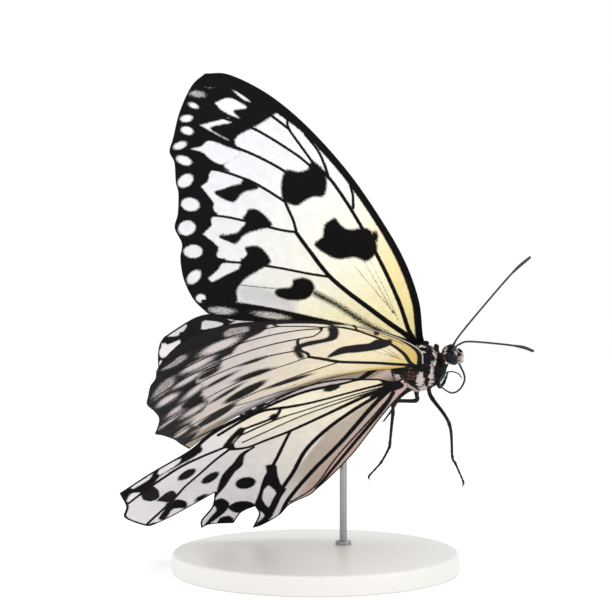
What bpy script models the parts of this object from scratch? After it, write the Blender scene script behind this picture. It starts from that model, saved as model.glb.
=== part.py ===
"""Paper kite butterfly (Idea leuconoe), a life-size still model on a plain display stand.

The origin is the middle of the underside of the stand's base, +X is to the right as the
butterfly is seen with its head on the right, and +Z is up. The animal is modelled in its own
frame, with x to its head, y to its left and z out of its back, and one empty carries it.
"""
import math

import bmesh
import bpy
from mathutils import Matrix, Vector
from mathutils.geometry import delaunay_2d_cdt

MM = 0.001
GAP = 0.3                      # clearance between pieces that meet, mm

# Pose of the body
THORAX_PLACE = (21.2, -7.3, 43.4)   # centre of the thorax above the base, mm
BODY_YAW = -26.2               # head turned to the viewer, degrees
BODY_PITCH = 18.9              # head raised
BODY_ROLL = 46.5               # back rolled to the viewer

# Body sizes, half axes in mm
THORAX_MIDDLE = (-0.75, 0.0, -0.9)
THORAX_SIZE = (5.55, 3.7, 5.1)
THORAX_BOXINESS = 2.4
HEAD_MIDDLE = (7.1, 0.0, -0.6)
HEAD_SIZE = (1.7, 1.9, 2.1)
NECK_RADIUS = 1.0
EYE_MIDDLE = (7.4, 1.6, -0.1)
EYE_SIZE = (1.1, 0.9, 1.4)
ABDOMEN_SEGMENTS = 8
ABDOMEN_RADIUS = 2.1
ABDOMEN_PATH = [(-4.0, 0, -0.2), (-12.0, 0, -2.6), (-18.0, 0, -5.6), (-23.2, 0, -8.8), (-31.5, 0, -15.2)]

# Wings
MEMBRANE = 0.5                 # thickness of the wing sheet, mm
VEIN_RIDGE = 0.95              # thickness over a main vein
VEIN_WIDTH = 0.5               # from a vein's middle to the foot of its ridge
MARGIN_STEP = 1.7              # spacing of points along the outline
VEIN_STEP = 2.4                # spacing of points along a vein
FILL_STEP = 3.6                # spacing of points between the veins
FOREWING_ROOT = (0.8, 3.35, 2.8)
HINDWING_ROOT = (-5.4, 3.7, -0.7)
WING_LENGTH = 69.0             # forewing, root to tip
FOREWING_RISE = {"left": 66.7, "right": 67.3}      # above level, degrees
FOREWING_SWEEP = {"left": 11.5, "right": 15.2}     # tip drawn back, degrees
HINDWING_RISE = 86.0
HINDWING_SPLAY = {"left": 17.0, "right": 14.0}     # tip turned outward, degrees
SHOULDER_BEND = {"left": 4.0, "right": 3.1}        # front edge bent to the under side, mm
SHOULDER_LINE = -1.0           # where that bend begins, mm to the rear
SHOULDER_DEPTH = 12.0          # how far before that line it is complete
LEFT_CAMBER = 1.2              # bulge of the left forewing at half length, mm

# The right forewing droops and twists towards its tip, all as mm at the wing tip
RIGHT_TIP_DROOP = 10.5
RIGHT_SPAN_BEND = 5.2
RIGHT_TWIST = 13.6             # for a point one wing length along and across
RIGHT_REAR_TWIST = 6.9
RIGHT_CHORD_BEND = 5.0
RIGHT_BUNCHING = 0.23          # part of its length that the middle is drawn to the root
RIGHT_BOW = 0.095              # part of its length that the middle is drawn forward
RIGHT_TAPER = 0.38             # narrowing of the chord at the tip
RIGHT_SPREAD = 0.45            # widening of the rear edge

# Wing outlines, mm along the wing and mm to its rear edge
LEFT_FOREWING = [
    [(-1.6, -1.3), (0.5, -2.0), (7.1, -6.1), (15.5, -9.0), (24.8, -10.4), (36.6, -10.9), (48.5, -9.7),
     (58.3, -7.0), (66.1, -2.6), (69.3, 1.6)],
    [(69.3, 1.6), (69.0, 5.6), (66.4, 11.2), (63.1, 15.8), (61.3, 18.4), (58.9, 19.0), (55.6, 21.4),
     (53.4, 22.5), (50.1, 25.5), (48.1, 28.1), (44.6, 29.0), (42.2, 31.5), (38.2, 33.9), (33.5, 35.0),
     (29.4, 34.4)],
    [(29.4, 34.4), (24.5, 29.6), (17.0, 18.9), (8.0, 8.6), (0.6, 1.9), (-1.6, 1.3)],
    [(-1.6, 1.3), (-1.6, -1.3)]]
RIGHT_FOREWING = [
    [(-1.6, -1.3), (0.3, -2.4), (3.9, -4.8), (8.2, -6.4), (17.2, -7.8), (27.2, -8.6), (36.8, -9.0),
     (45.0, -8.8), (50.7, -8.8), (56.4, -9.5), (61.5, -8.6), (65.0, -5.9), (66.4, -2.4), (66.7, 1.5)],
    [(66.7, 1.5), (66.2, 4.4), (64.8, 7.5), (64.3, 10.0), (62.2, 13.8), (60.1, 16.8), (55.6, 20.2),
     (51.1, 23.5), (47.6, 26.9), (46.0, 28.5), (43.4, 29.3), (39.8, 30.4), (35.8, 31.6), (31.5, 33.0),
     (25.9, 34.4)],
    [(25.9, 34.4), (27.0, 28.5), (25.2, 23.0), (21.5, 18.3), (18.6, 14.6), (15.2, 11.2), (9.3, 6.7),
     (5.8, 4.6), (0.6, 1.9), (-1.6, 1.3)],
    [(-1.6, 1.3), (-1.6, -1.3)]]
HIND_COSTA = {
    "left": [(-3.0, -1.0), (0.3, -2.4), (4.4, -6.9), (15.7, -12.9), (28.7, -14.9), (36.8, -15.8),
             (42.5, -17.3), (47.7, -17.0), (54.7, -14.9), (61.0, -12.7)],
    "right": [(-3.0, -1.0), (-0.1, -1.8), (2.0, -5.2), (4.4, -9.6), (8.0, -12.8), (14.6, -15.4),
              (27.5, -16.8), (35.0, -17.0), (41.5, -15.6), (50.9, -15.5), (59.5, -14.9)]}
HIND_TIP = {
    "left": [(63.6, -10.9), (65.6, -8.1), (66.9, -4.2), (65.6, -0.4), (62.4, 2.6)],
    "right": [(61.0, -10.6), (63.9, -7.3), (64.1, -3.2), (62.9, -0.2), (61.1, 0.5)]}
HIND_TORN = [[(61.1, 0.5), (56.2, 0.9), (46.0, 0.9)],
             [(46.0, 0.9), (48.9, 4.1), (53.1, 6.1), (54.5, 8.1)],
             [(54.5, 8.1), (52.2, 8.5), (48.3, 11.5)],
             [(48.3, 11.5), (45.0, 9.8), (41.8, 10.2)],
             [(41.8, 10.2), (42.6, 12.9), (46.0, 15.6)],
             [(46.0, 15.6), (43.8, 16.2), (39.3, 16.1), (35.7, 14.8), (30.8, 15.2), (28.8, 14.7)]]
HIND_WHOLE = [[(62.4, 2.6), (60.2, 5.6), (55.6, 8.8), (51.4, 11.9), (46.6, 15.2), (41.2, 17.0),
               (36.0, 16.6), (28.8, 14.7)]]
HIND_REAR = [(28.8, 14.7), (24.0, 13.3), (17.4, 10.8), (11.9, 8.0), (7.0, 5.4), (1.8, 3.0), (-3.0, 1.4)]

# Veins: from, to and how far the middle bows to the rear, mm
FORE_VEINS = {
    "costa": ((0.0, -0.6), (50.4, -8.8), -4.1),
    "radius": ((0.0, 0.0), (41.9, -6.2), -2.3),
    "radius_1": ((30.4, -6.9), (36.0, -10.0), 0.0),
    "radius_2": ((38.1, -6.9), (48.5, -8.7), -0.6),
    "radius_3": ((50.6, -5.9), (57.0, -6.8), 0.0),
    "radius_5": ((41.9, -6.2), (64.5, -1.2), -1.8),
    "media_1": ((41.7, -5.5), (66.4, 9.8), -2.5),
    "media_2": ((43.2, -0.6), (63.0, 15.4), -1.9),
    "media_3": ((39.3, 4.0), (58.2, 18.8), -2.0),
    "cell_end_front": ((41.7, -5.5), (43.2, -0.6), -0.8),
    "cell_end_rear": ((43.2, -0.6), (39.3, 4.0), 0.6),
    "cell_end_foot": ((39.3, 4.0), (32.9, 6.1), 0.3),
    "cubitus": ((0.0, 0.6), (32.9, 6.1), 2.0),
    "cubitus_1": ((32.9, 6.1), (50.2, 25.0), 1.0),
    "cubitus_2": ((21.8, 6.5), (42.4, 31.0), 1.9),
    "anal": ((0.6, 1.0), (32.4, 33.8), 0.3),
}
HIND_VEINS = {
    "shoulder": ((0.5, -1.8), (40.0, -15.2), -4.6),
    "radial_sector": ((0.4, -1.0), (34.0, -14.2), -2.0),
    "cell_end": ((29.5, -13.0), (35.1, -10.2), 0.3),
    "cell_foot": ((35.1, -10.2), (31.7, -6.4), 0.3),
    "media_1": ((35.3, -11.2), (61.0, -10.4), -1.2),
    "media_2": ((35.1, -10.2), (62.5, -0.6), -0.3),
    "media_3": ((31.7, -6.2), (45.6, 1.0), 0.4),
    "cubitus": ((0.4, -0.4), (31.7, -6.4), 0.8),
    "cubitus_1": ((23.5, -4.4), (41.4, 9.8), 0.4),
    "cubitus_2": ((1.0, 0.3), (43.2, 15.3), 3.3),
    "anal_1": ((0.6, 0.6), (38.6, 15.6), 1.2),
    "anal_2": ((0.2, 1.2), (28.4, 14.0), 0.4),
}

# Limbs, mm in the animal's frame, drawn for the right side
ANTENNA_RADIUS = 0.25
CLUB_RADIUS = 0.42
ANTENNA_PATH = {
    "left": [(7.3, 0.7, 0.2), (8.7, 0.8, 1.3), (9.7, 1.5, 1.8), (13.0, 4.0, 2.6), (21.0, 9.0, 4.7),
             (24.6, 11.6, 5.2), (27.7, 13.6, 5.2)],
    "right": [(7.3, -0.7, 0.2), (9.1, -0.8, 1.6), (10.6, -1.3, 2.5), (13.4, -3.0, 3.8),
              (20.8, -8.3, 5.3), (25.9, -12.2, 6.2), (28.2, -14.2, 6.1)]}
PALP_PATH = [(7.2, -0.6, -1.9), (8.6, -0.62, -2.2), (9.2, -0.65, -1.1), (9.2, -0.6, 0.3)]
PROBOSCIS_PATH = [(7.1, 0, -1.6), (7.3, 0, -3.2), (7.2, -0.1, -4.4), (6.9, -0.4, -6.6), (6.1, -0.8, -8.1),
                  (4.4, -1.4, -9.2), (3.0, -2.0, -8.8), (2.4, -2.6, -6.7), (2.5, -3.1, -4.5),
                  (3.7, -3.35, -2.7), (5.2, -3.3, -1.8), (6.4, -3.0, -2.3), (7.0, -2.4, -4.0),
                  (6.8, -2.0, -5.6)]
PROBOSCIS_RADIUS = 0.25
LEG_PATH = {
    "leg_fore_right": [(2.2, -1.4, -3.6), (1.6, -2.2, -5.9), (3.0, -1.9, -5.3), (4.5, -1.3, -3.9)],
    "leg_fore_left": [(2.2, 1.4, -3.6), (1.6, 2.2, -5.9), (3.0, 1.9, -5.3), (4.5, 1.3, -3.9)],
    "leg_mid_right": [(0.2, -1.2, -3.0), (-1.0, -1.9, -6.2), (-0.9, -3.1, -7.5), (1.9, -9.2, -10.0),
                      (0.2, -13.6, -14.8), (0.3, -14.5, -16.0), (0.8, -17.5, -18.6), (0.5, -18.0, -19.0)],
    "leg_mid_left": [(0.2, 1.2, -3.0), (-1.4, 1.8, -6.0), (-3.0, 2.4, -7.4), (-9.0, 2.4, -8.9),
                     (-12.8, 2.2, -11.6), (-16.4, 2.0, -14.0)],
    "leg_hind_right": [(-2.6, -1.0, -3.0), (-3.9, -1.8, -6.2), (-4.7, -2.4, -7.2), (-8.6, -2.7, -5.4),
                       (-9.6, -4.6, -6.6), (-11.2, -10.4, -8.8), (-11.5, -11.0, -9.2),
                       (-14.0, -13.3, -10.4), (-16.9, -15.4, -10.9), (-17.2, -15.9, -11.3)],
    "leg_hind_left": [(-2.6, 1.0, -3.0), (-4.2, 1.6, -5.6), (-6.0, 2.2, -6.6), (-11.4, 3.2, -6.4),
                      (-14.6, 3.6, -9.4), (-19.0, 3.4, -11.8), (-22.6, 3.6, -13.0)],
}
COXA_RADIUS = 0.85
FEMUR_RADIUS = 0.36
FOOT_RADIUS = 0.25

# Stand
BASE_RADIUS = 30.0
BASE_HEIGHT = 4.0
BASE_EDGE = 0.8
ROD_RADIUS = 0.8
ROD_PLACE = (6.0, 7.2)
ROD_SLACK = 2.5                # extra length that the abdomen then trims away


def clear_scene():
    """Start from an empty scene."""
    for item in list(bpy.data.objects):
        bpy.data.objects.remove(item, do_unlink=True)


def new_collection(name):
    """A collection in the scene."""
    found = bpy.data.collections.new(name)
    bpy.context.scene.collection.children.link(found)
    return found


def material(name, color, roughness, metallic=0.0):
    """A plain Principled surface."""
    made = bpy.data.materials.new(name)
    made.use_nodes = True
    shader = made.node_tree.nodes["Principled BSDF"]
    shader.inputs["Base Color"].default_value = (*color, 1.0)
    shader.inputs["Roughness"].default_value = roughness
    shader.inputs["Metallic"].default_value = metallic
    return made


def add_object(name, mesh, collection, carrier, look=None):
    """Put a mesh in a collection, carried by the pose empty where it has one."""
    item = bpy.data.objects.new(name, mesh)
    collection.objects.link(item)
    item.parent = carrier
    if look is None:
        item.hide_render = True
        item.display_type = "WIRE"
    else:
        mesh.materials.append(look)
    return item


def cut_by(item, cutter):
    """Trim a piece by the enlarged copy of what carries it."""
    trim = item.modifiers.new("fit", "BOOLEAN")
    trim.operation = "DIFFERENCE"
    trim.solver = "EXACT"
    trim.object = cutter


def smooth_path(points, step):
    """Points about one step apart on a Catmull-Rom curve through the given points."""
    points = [Vector(point) for point in points]
    ends = [points[0] * 2 - points[1], *points, points[-1] * 2 - points[-2]]
    path = [points[0]]
    for before, start, stop, after in zip(ends, ends[1:], ends[2:], ends[3:]):
        count = max(1, round((stop - start).length / step))
        for index in range(1, count + 1):
            t = index / count
            path.append(0.5 * (2 * start + (stop - before) * t
                               + (2 * before - 5 * start + 4 * stop - after) * t * t
                               + (3 * start - before - 3 * stop + after) * t ** 3))
    return path


# Wings

def bowed_line(start, stop, bow, step):
    """Points along a shallow arc whose middle stands off its chord by the bow."""
    start, stop = Vector(start), Vector(stop)
    along = stop - start
    across = Vector((-along.y, along.x)).normalized()
    count = max(2, round(along.length / step))
    return [start + along * (i / count) + across * bow * 4 * (i / count) * (1 - i / count)
            for i in range(count + 1)]


def outline_points(strokes):
    """A closed outline through smooth strokes that meet at corners."""
    outline = []
    for stroke in strokes:
        outline += smooth_path(stroke, MARGIN_STEP)[:-1]
    return [Vector(point[:2]) for point in outline]


def inside(point, outline):
    """Whether a point lies within an outline, by counting crossings."""
    hit = False
    for a, b in zip(outline, outline[1:] + outline[:1]):
        if (a.y > point.y) != (b.y > point.y):
            if point.x < a.x + (b.x - a.x) * (point.y - a.y) / (b.y - a.y):
                hit = not hit
    return hit


def spaced(point, others, distance):
    """Whether a point keeps its distance from the others."""
    return all((point - other).length > distance for other in others)


def plan_mesh(outline, veins):
    """Triangles of a flat wing with the veins among its edges, and each point's ridge weight."""
    points = list(outline)
    weights = [0.0] * len(points)
    edges = [(i, (i + 1) % len(points)) for i in range(len(points))]
    lines = [bowed_line(*vein, VEIN_STEP) for vein in veins.values()]
    for line in lines:
        for point in line:
            if inside(point, outline) and spaced(point, points, 0.6):
                points.append(point)
                weights.append(1.0)
    for line in lines:
        for here, there in zip(line, line[1:]):
            side = Vector((here.y - there.y, there.x - here.x)).normalized() * VEIN_WIDTH
            for point in ((here + there) / 2 + side, (here + there) / 2 - side):
                if inside(point, outline) and spaced(point, points, VEIN_WIDTH * 0.8):
                    points.append(point)
                    weights.append(0.0)
    width = max(p.x for p in outline)
    low, high = min(p.y for p in outline), max(p.y for p in outline)
    for row in range(int((high - low) / FILL_STEP) + 1):
        for column in range(int(width / FILL_STEP) + 1):
            point = Vector(((column + 0.5 * (row % 2)) * FILL_STEP, low + (row + 0.5) * FILL_STEP))
            if inside(point, outline) and spaced(point, points, FILL_STEP * 0.45):
                points.append(point)
                weights.append(0.0)
    found = delaunay_2d_cdt(points, edges, [], 1, 1e-5)
    vertices, faces, sources = found[0], found[2], found[3]
    ridge = [max((weights[i] for i in source), default=0.0) for source in sources]
    return vertices, faces, ridge


def forewing_frame(side):
    """Axes along the wing, to its rear edge and out of its upper face."""
    hand = 1 if side == "left" else -1
    rise, sweep = math.radians(FOREWING_RISE[side]), math.radians(FOREWING_SWEEP[side])
    along = Vector((-math.sin(sweep), hand * math.cos(sweep) * math.cos(rise),
                    math.cos(sweep) * math.sin(rise)))
    upper = Vector((0, -hand * math.sin(rise), math.cos(rise)))
    rear = Vector((-math.cos(sweep), -hand * math.sin(sweep) * math.cos(rise),
                   -math.sin(sweep) * math.sin(rise)))
    return along, rear, upper


def forewing_place(side, u, v):
    """A point of the forewing, from mm along the wing and mm to its rear edge."""
    hand = 1 if side == "left" else -1
    along, rear, upper = forewing_frame(side)
    root = Vector(FOREWING_ROOT) * Vector((1, hand, 1))
    span, chord = u / WING_LENGTH, v / WING_LENGTH
    arch = u * (1 - span)
    if side == "left":
        lift = LEFT_CAMBER * 4 * span * (1 - span)
        return root + along * u + rear * v + upper * lift
    lift = -(RIGHT_SPAN_BEND * span ** 2 + RIGHT_TIP_DROOP * span ** 3 + RIGHT_TWIST * span * chord
             + RIGHT_REAR_TWIST * span ** 2 * chord + RIGHT_CHORD_BEND * chord ** 2)
    u_bent = u - RIGHT_BUNCHING * arch
    v_bent = v * (1 - RIGHT_TAPER * span) - RIGHT_BOW * arch + RIGHT_SPREAD * v * v / 30
    return root + along * u_bent + rear * v_bent + upper * lift


def hindwing_place(side, u, v):
    """A point of the hindwing, from mm along the wing and mm to its inner edge."""
    hand = 1 if side == "left" else -1
    rise, splay = math.radians(HINDWING_RISE), math.radians(HINDWING_SPLAY[side])
    along = Vector((-math.cos(splay), hand * math.sin(splay) * math.sin(rise),
                    -math.sin(splay) * math.cos(rise)))
    inner = Vector((0, -hand * math.cos(rise), -math.sin(rise)))
    under = inner.cross(along) * hand
    root = Vector(HINDWING_ROOT) * Vector((1, hand, 1))
    part = min(1.0, max(0.0, (SHOULDER_LINE - v) / SHOULDER_DEPTH))
    bend = part * part * (3 - 2 * part) * min(1.0, max(0.0, u / 3))
    return root + along * u + inner * v + under * bend * SHOULDER_BEND[side]


def wing(name, strokes, veins, place, look):
    """A wing: a flat plan bent into its pose, then thickened, with a ridge along each vein."""
    vertices, faces, ridge = plan_mesh(outline_points(strokes), veins)
    mesh = bpy.data.meshes.new(name)
    mesh.from_pydata([place(p.x, p.y) * MM for p in vertices], [], faces)
    item = add_object(name, mesh, butterfly, pose, look)
    group = item.vertex_groups.new(name="ridge")
    for index, weight in enumerate(ridge):
        if weight:
            group.add([index], weight, "REPLACE")
    sheet = item.modifiers.new("sheet", "SOLIDIFY")
    sheet.thickness = VEIN_RIDGE * MM
    sheet.offset = 0.0
    sheet.vertex_group = "ridge"
    sheet.thickness_vertex_group = MEMBRANE / VEIN_RIDGE
    return item


# Body

def rounded_body(name, middle, size, boxiness=2.0, grow=0.0, rings=16, segments=24):
    """A closed egg with half axes in mm; a boxiness over 2 squares its shoulders."""
    mesh = bpy.data.meshes.new(name)
    form = bmesh.new()
    bmesh.ops.create_uvsphere(form, u_segments=segments, v_segments=rings, radius=1.0)
    for vertex in form.verts:
        norm = sum(abs(value) ** boxiness for value in vertex.co) ** (1 / boxiness)
        vertex.co = Vector(middle[axis] + (size[axis] + grow) * vertex.co[axis] / norm
                           for axis in range(3)) * MM
    form.to_mesh(mesh)
    form.free()
    return mesh


def tube_mesh(name, points, radii, sides=2):
    """A closed tube through points in mm, from a bevelled curve with filled ends."""
    curve = bpy.data.curves.new(name, "CURVE")
    curve.dimensions = "3D"
    curve.bevel_depth = MM
    curve.bevel_resolution = sides
    curve.use_fill_caps = True
    spline = curve.splines.new("POLY")
    spline.points.add(len(points) - 1)
    for knot, point, radius in zip(spline.points, points, radii):
        knot.co = (*(Vector(point) * MM), 1.0)
        knot.radius = radius
    guide = bpy.data.objects.new(name + "_guide", curve)
    guides.objects.link(guide)
    bpy.context.view_layer.update()
    mesh = bpy.data.meshes.new_from_object(guide.evaluated_get(bpy.context.evaluated_depsgraph_get()))
    bpy.data.objects.remove(guide, do_unlink=True)
    form = bmesh.new()
    form.from_mesh(mesh)
    bmesh.ops.remove_doubles(form, verts=form.verts, dist=1e-6)
    bmesh.ops.recalc_face_normals(form, faces=form.faces)
    form.to_mesh(mesh)
    form.free()
    mesh.name = name
    mesh.materials.clear()
    return mesh


def join_meshes(name, meshes):
    """One closed mesh from several that overlap, by a Boolean union applied at once."""
    pieces = bpy.data.collections.new(name + "_pieces")
    for mesh in meshes[1:]:
        pieces.objects.link(bpy.data.objects.new(mesh.name + "_piece", mesh))
    whole = bpy.data.objects.new(name + "_whole", meshes[0])
    guides.objects.link(whole)
    union = whole.modifiers.new("union", "BOOLEAN")
    union.operation = "UNION"
    union.solver = "EXACT"
    union.operand_type = "COLLECTION"
    union.collection = pieces
    bpy.context.view_layer.update()
    joined = bpy.data.meshes.new_from_object(whole.evaluated_get(bpy.context.evaluated_depsgraph_get()))
    for item in [whole, *pieces.objects]:
        bpy.data.objects.remove(item, do_unlink=True)
    bpy.data.collections.remove(pieces)
    joined.name = name
    joined.materials.clear()
    return joined


def abdomen_mesh(name, grow=0.0):
    """A long tapered body of ringed segments on a drooping path."""
    path = smooth_path(ABDOMEN_PATH, 1.0)
    radii = []
    for index in range(len(path)):
        t = index / (len(path) - 1)
        taper = min(1.0, 0.62 + 2.6 * t) * min(1.0, 0.12 + 2.4 * (1 - t)) ** 0.7
        ring = 1.0 + 0.045 * abs(math.sin(math.pi * ABDOMEN_SEGMENTS * t))
        radii.append(ABDOMEN_RADIUS * taper * ring + grow)
    return tube_mesh(name, path, radii, 3)


def head_mesh(name, grow=0.0):
    """The head with its short neck reaching back to the thorax."""
    skull = rounded_body(name + "_skull", HEAD_MIDDLE, HEAD_SIZE, 2.0, grow, 12, 18)
    neck_path = [(4.0, 0, -0.4), (5.4, 0, -0.5), (6.8, 0, -0.6)]
    neck = tube_mesh(name + "_neck", neck_path, [NECK_RADIUS + grow] * 3, 3)
    return join_meshes(name, [skull, neck])


def limb_radii(path, root, middle, tip, swell_end=None):
    """Radii that narrow from a thick root to a thin tip, or swell again into a club."""
    radii = []
    for index in range(len(path)):
        t = index / (len(path) - 1)
        radius = middle + (root - middle) * max(0.0, 1 - t / 0.16) + (tip - middle) * t
        if swell_end and t > 0.82:
            radius += (swell_end - tip) * math.sin(math.pi * min(1.0, (t - 0.82) / 0.2)) ** 0.8
        radii.append(radius)
    return radii


def limb(name, points, root, middle, tip, look, cutters, step=2.0, swell_end=None):
    """A leg, feeler or mouthpart that starts inside its carrier and is trimmed flush with it."""
    path = smooth_path(points, step)
    item = add_object(name, tube_mesh(name, path, limb_radii(path, root, middle, tip, swell_end)),
                      butterfly, pose, look)
    for cutter in cutters:
        cut_by(item, cutter)
    return item


# Build

clear_scene()
butterfly = new_collection("paper_kite_butterfly")
guides = new_collection("guides")

black = material("black_scaled_cuticle", (0.012, 0.011, 0.011), 0.6)
eye_black = material("dark_eye", (0.015, 0.018, 0.03), 0.2)
cream = material("cream_wing", (0.84, 0.79, 0.62), 0.55)
pale = material("pale_abdomen", (0.55, 0.52, 0.46), 0.65)
lacquer = material("white_lacquered_base", (0.82, 0.81, 0.79), 0.35)
steel = material("steel_rod", (0.55, 0.55, 0.56), 0.3, 1.0)

pose = bpy.data.objects.new("butterfly_pose", None)
butterfly.objects.link(pose)
pose.location = Vector(THORAX_PLACE) * MM
turn = (Matrix.Rotation(math.radians(BODY_YAW), 3, "Z") @ Matrix.Rotation(math.radians(-BODY_PITCH), 3, "Y")
        @ Matrix.Rotation(math.radians(BODY_ROLL), 3, "X"))
pose.rotation_euler = turn.to_euler()
bpy.context.view_layer.update()

# Enlarged carriers that trim whatever grows from them
thorax_fit = add_object("thorax_fit", rounded_body("thorax_fit", THORAX_MIDDLE, THORAX_SIZE,
                                                   THORAX_BOXINESS, GAP), guides, pose)
head_fit = add_object("head_fit", head_mesh("head_fit", GAP), guides, pose)
abdomen_fit = add_object("abdomen_fit", abdomen_mesh("abdomen_fit", GAP), guides, pose)

thorax = add_object("thorax", rounded_body("thorax", THORAX_MIDDLE, THORAX_SIZE, THORAX_BOXINESS),
                    butterfly, pose, black)
head = add_object("head", head_mesh("head"), butterfly, pose, black)
cut_by(head, thorax_fit)
abdomen = add_object("abdomen", abdomen_mesh("abdomen"), butterfly, pose, pale)
cut_by(abdomen, thorax_fit)

for side, hand in (("left", 1), ("right", -1)):
    middle = [EYE_MIDDLE[0], hand * EYE_MIDDLE[1], EYE_MIDDLE[2]]
    eye = add_object("eye_" + side, rounded_body("eye_" + side, middle, EYE_SIZE, 2.0, 0.0, 10, 16),
                     butterfly, pose, eye_black)
    cut_by(eye, head_fit)
    limb("antenna_" + side, ANTENNA_PATH[side], 0.32, ANTENNA_RADIUS, ANTENNA_RADIUS, black,
         [head_fit], 2.2, CLUB_RADIUS)
    palp = [(x, -hand * y, z) for x, y, z in PALP_PATH]
    limb("palp_" + side, palp, 0.5, 0.5, 0.3, pale, [head_fit], 0.7)

    strokes = LEFT_FOREWING if side == "left" else RIGHT_FOREWING
    forewing = wing("forewing_" + side, strokes, FORE_VEINS,
                    lambda u, v, side=side: forewing_place(side, u, v), cream)
    cut_by(forewing, thorax_fit)
    edge = HIND_WHOLE if side == "left" else HIND_TORN
    strokes = [HIND_COSTA[side], [HIND_COSTA[side][-1], *HIND_TIP[side]], *edge, HIND_REAR]
    hindwing = wing("hindwing_" + side, [*strokes, [HIND_REAR[-1], HIND_COSTA[side][0]]], HIND_VEINS,
                    lambda u, v, side=side: hindwing_place(side, u, v), cream)
    cut_by(hindwing, thorax_fit)
    cut_by(hindwing, abdomen_fit)

limb("proboscis", PROBOSCIS_PATH, 0.35, PROBOSCIS_RADIUS, PROBOSCIS_RADIUS, black, [head_fit], 1.2)
for name, points in LEG_PATH.items():
    limb(name, points, COXA_RADIUS, FEMUR_RADIUS, FOOT_RADIUS, black, [thorax_fit], 1.8)

base_mesh = bpy.data.meshes.new("stand_base")
form = bmesh.new()
bmesh.ops.create_cone(form, cap_ends=True, segments=64, radius1=BASE_RADIUS * MM, radius2=BASE_RADIUS * MM,
                      depth=BASE_HEIGHT * MM, matrix=Matrix.Translation((0, 0, BASE_HEIGHT * MM / 2)))
form.to_mesh(base_mesh)
form.free()
base = add_object("stand_base", base_mesh, butterfly, None, lacquer)
round_edge = base.modifiers.new("edge", "BEVEL")
round_edge.width = BASE_EDGE * MM
round_edge.segments = 3
round_edge.limit_method = "ANGLE"

carried = Vector(ABDOMEN_PATH[3]) * MM
rod_top = (pose.matrix_world @ carried).z / MM + ROD_SLACK - ABDOMEN_RADIUS
rod_foot = BASE_HEIGHT + GAP
rod_mesh = bpy.data.meshes.new("stand_rod")
form = bmesh.new()
bmesh.ops.create_cone(form, cap_ends=True, segments=20, radius1=ROD_RADIUS * MM, radius2=ROD_RADIUS * MM,
                      depth=(rod_top - rod_foot) * MM,
                      matrix=Matrix.Translation(Vector((*ROD_PLACE, (rod_top + rod_foot) / 2)) * MM))
form.to_mesh(rod_mesh)
form.free()
rod = add_object("stand_rod", rod_mesh, butterfly, None, steel)
cut_by(rod, abdomen_fit)
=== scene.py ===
# %% [markdown]
# # A paper kite butterfly on its display stand
# The real animal is a large white butterfly drawn over in black: four paper-thin wings on stiff dark
# veins, a spotted body, six thin legs, two long feelers and a coiled feeding tube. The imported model
# already holds every piece at its true size and place, so this script only has to dress it: each
# wing, limb and body part gets a finer surface in the same place, and each surface gets a finish.

import math

import bpy
import numpy as np
from mathutils.geometry import delaunay_2d_cdt
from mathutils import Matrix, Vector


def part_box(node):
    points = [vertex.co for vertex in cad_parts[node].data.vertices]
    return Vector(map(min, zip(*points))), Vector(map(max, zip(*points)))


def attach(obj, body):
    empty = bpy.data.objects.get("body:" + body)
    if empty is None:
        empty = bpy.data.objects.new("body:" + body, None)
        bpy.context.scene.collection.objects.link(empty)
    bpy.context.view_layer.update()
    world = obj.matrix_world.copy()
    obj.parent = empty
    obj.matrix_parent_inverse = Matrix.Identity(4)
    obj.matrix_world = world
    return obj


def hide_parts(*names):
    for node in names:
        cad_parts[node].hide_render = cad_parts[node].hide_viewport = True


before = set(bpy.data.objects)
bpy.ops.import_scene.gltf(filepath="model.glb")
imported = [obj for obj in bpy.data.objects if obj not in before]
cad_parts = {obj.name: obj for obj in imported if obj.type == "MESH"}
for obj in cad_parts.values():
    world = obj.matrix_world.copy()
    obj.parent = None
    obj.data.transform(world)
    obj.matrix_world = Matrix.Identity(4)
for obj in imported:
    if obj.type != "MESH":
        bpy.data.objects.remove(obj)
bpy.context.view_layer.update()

# %% [markdown]
# ## Small tools
# Every length below is in millimetres, because that is how a butterfly is measured, and one factor
# turns it to metres where a mesh is made. Colours are written as the eye reads them, in hex, and one
# function turns them to the linear light that the renderer adds up.

# %% Colours and shader nodes
MM = 0.001


def colour(code):
    """Linear red, green, blue and alpha of an sRGB hex colour, by the usual two-part curve."""
    c = np.array([int(code[i:i + 2], 16) for i in (1, 3, 5)]) / 255
    linear = np.where(c < 0.04045, c / 12.92, ((c + 0.055) / 1.055) ** 2.4)
    return (*linear.tolist(), 1.0)


def connect(tree, node, links):
    """Link inputs of a shader node to (node, output) pairs."""
    for key, (source, output) in links.items():
        tree.links.new(source.outputs[output], node.inputs[key])


def add_node(tree, kind, settings=None, links=None):
    """Add a shader node by the end of its type's name, set its properties and inputs, and connect it."""
    made = tree.nodes.new("ShaderNode" + kind)
    for key, value in (settings or {}).items():
        if isinstance(key, str) and hasattr(made, key):
            setattr(made, key, value)
        else:
            made.inputs[key].default_value = value
    connect(tree, made, links or {})
    return made


def new_finish(name, sockets):
    """A material with a Principled shader whose plain sockets are set directly."""
    made = bpy.data.materials.new(name)
    made.use_nodes = True
    shader = made.node_tree.nodes["Principled BSDF"]
    for key, value in sockets.items():
        shader.inputs[key].default_value = value
    return made, made.node_tree, shader


# %% [markdown]
# A piece is made from whole arrays of points and faces. Pieces that belong together, such as the
# joints of a leg, are joined before they become a mesh. Numbers kept on the points, such as how much
# ink lies there, become attributes that the materials read.

# %% Points and faces become a piece
SIDES = ("left", "right")      # the far side and the near side of the picture
HAND = {"left": 1, "right": -1}


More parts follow.
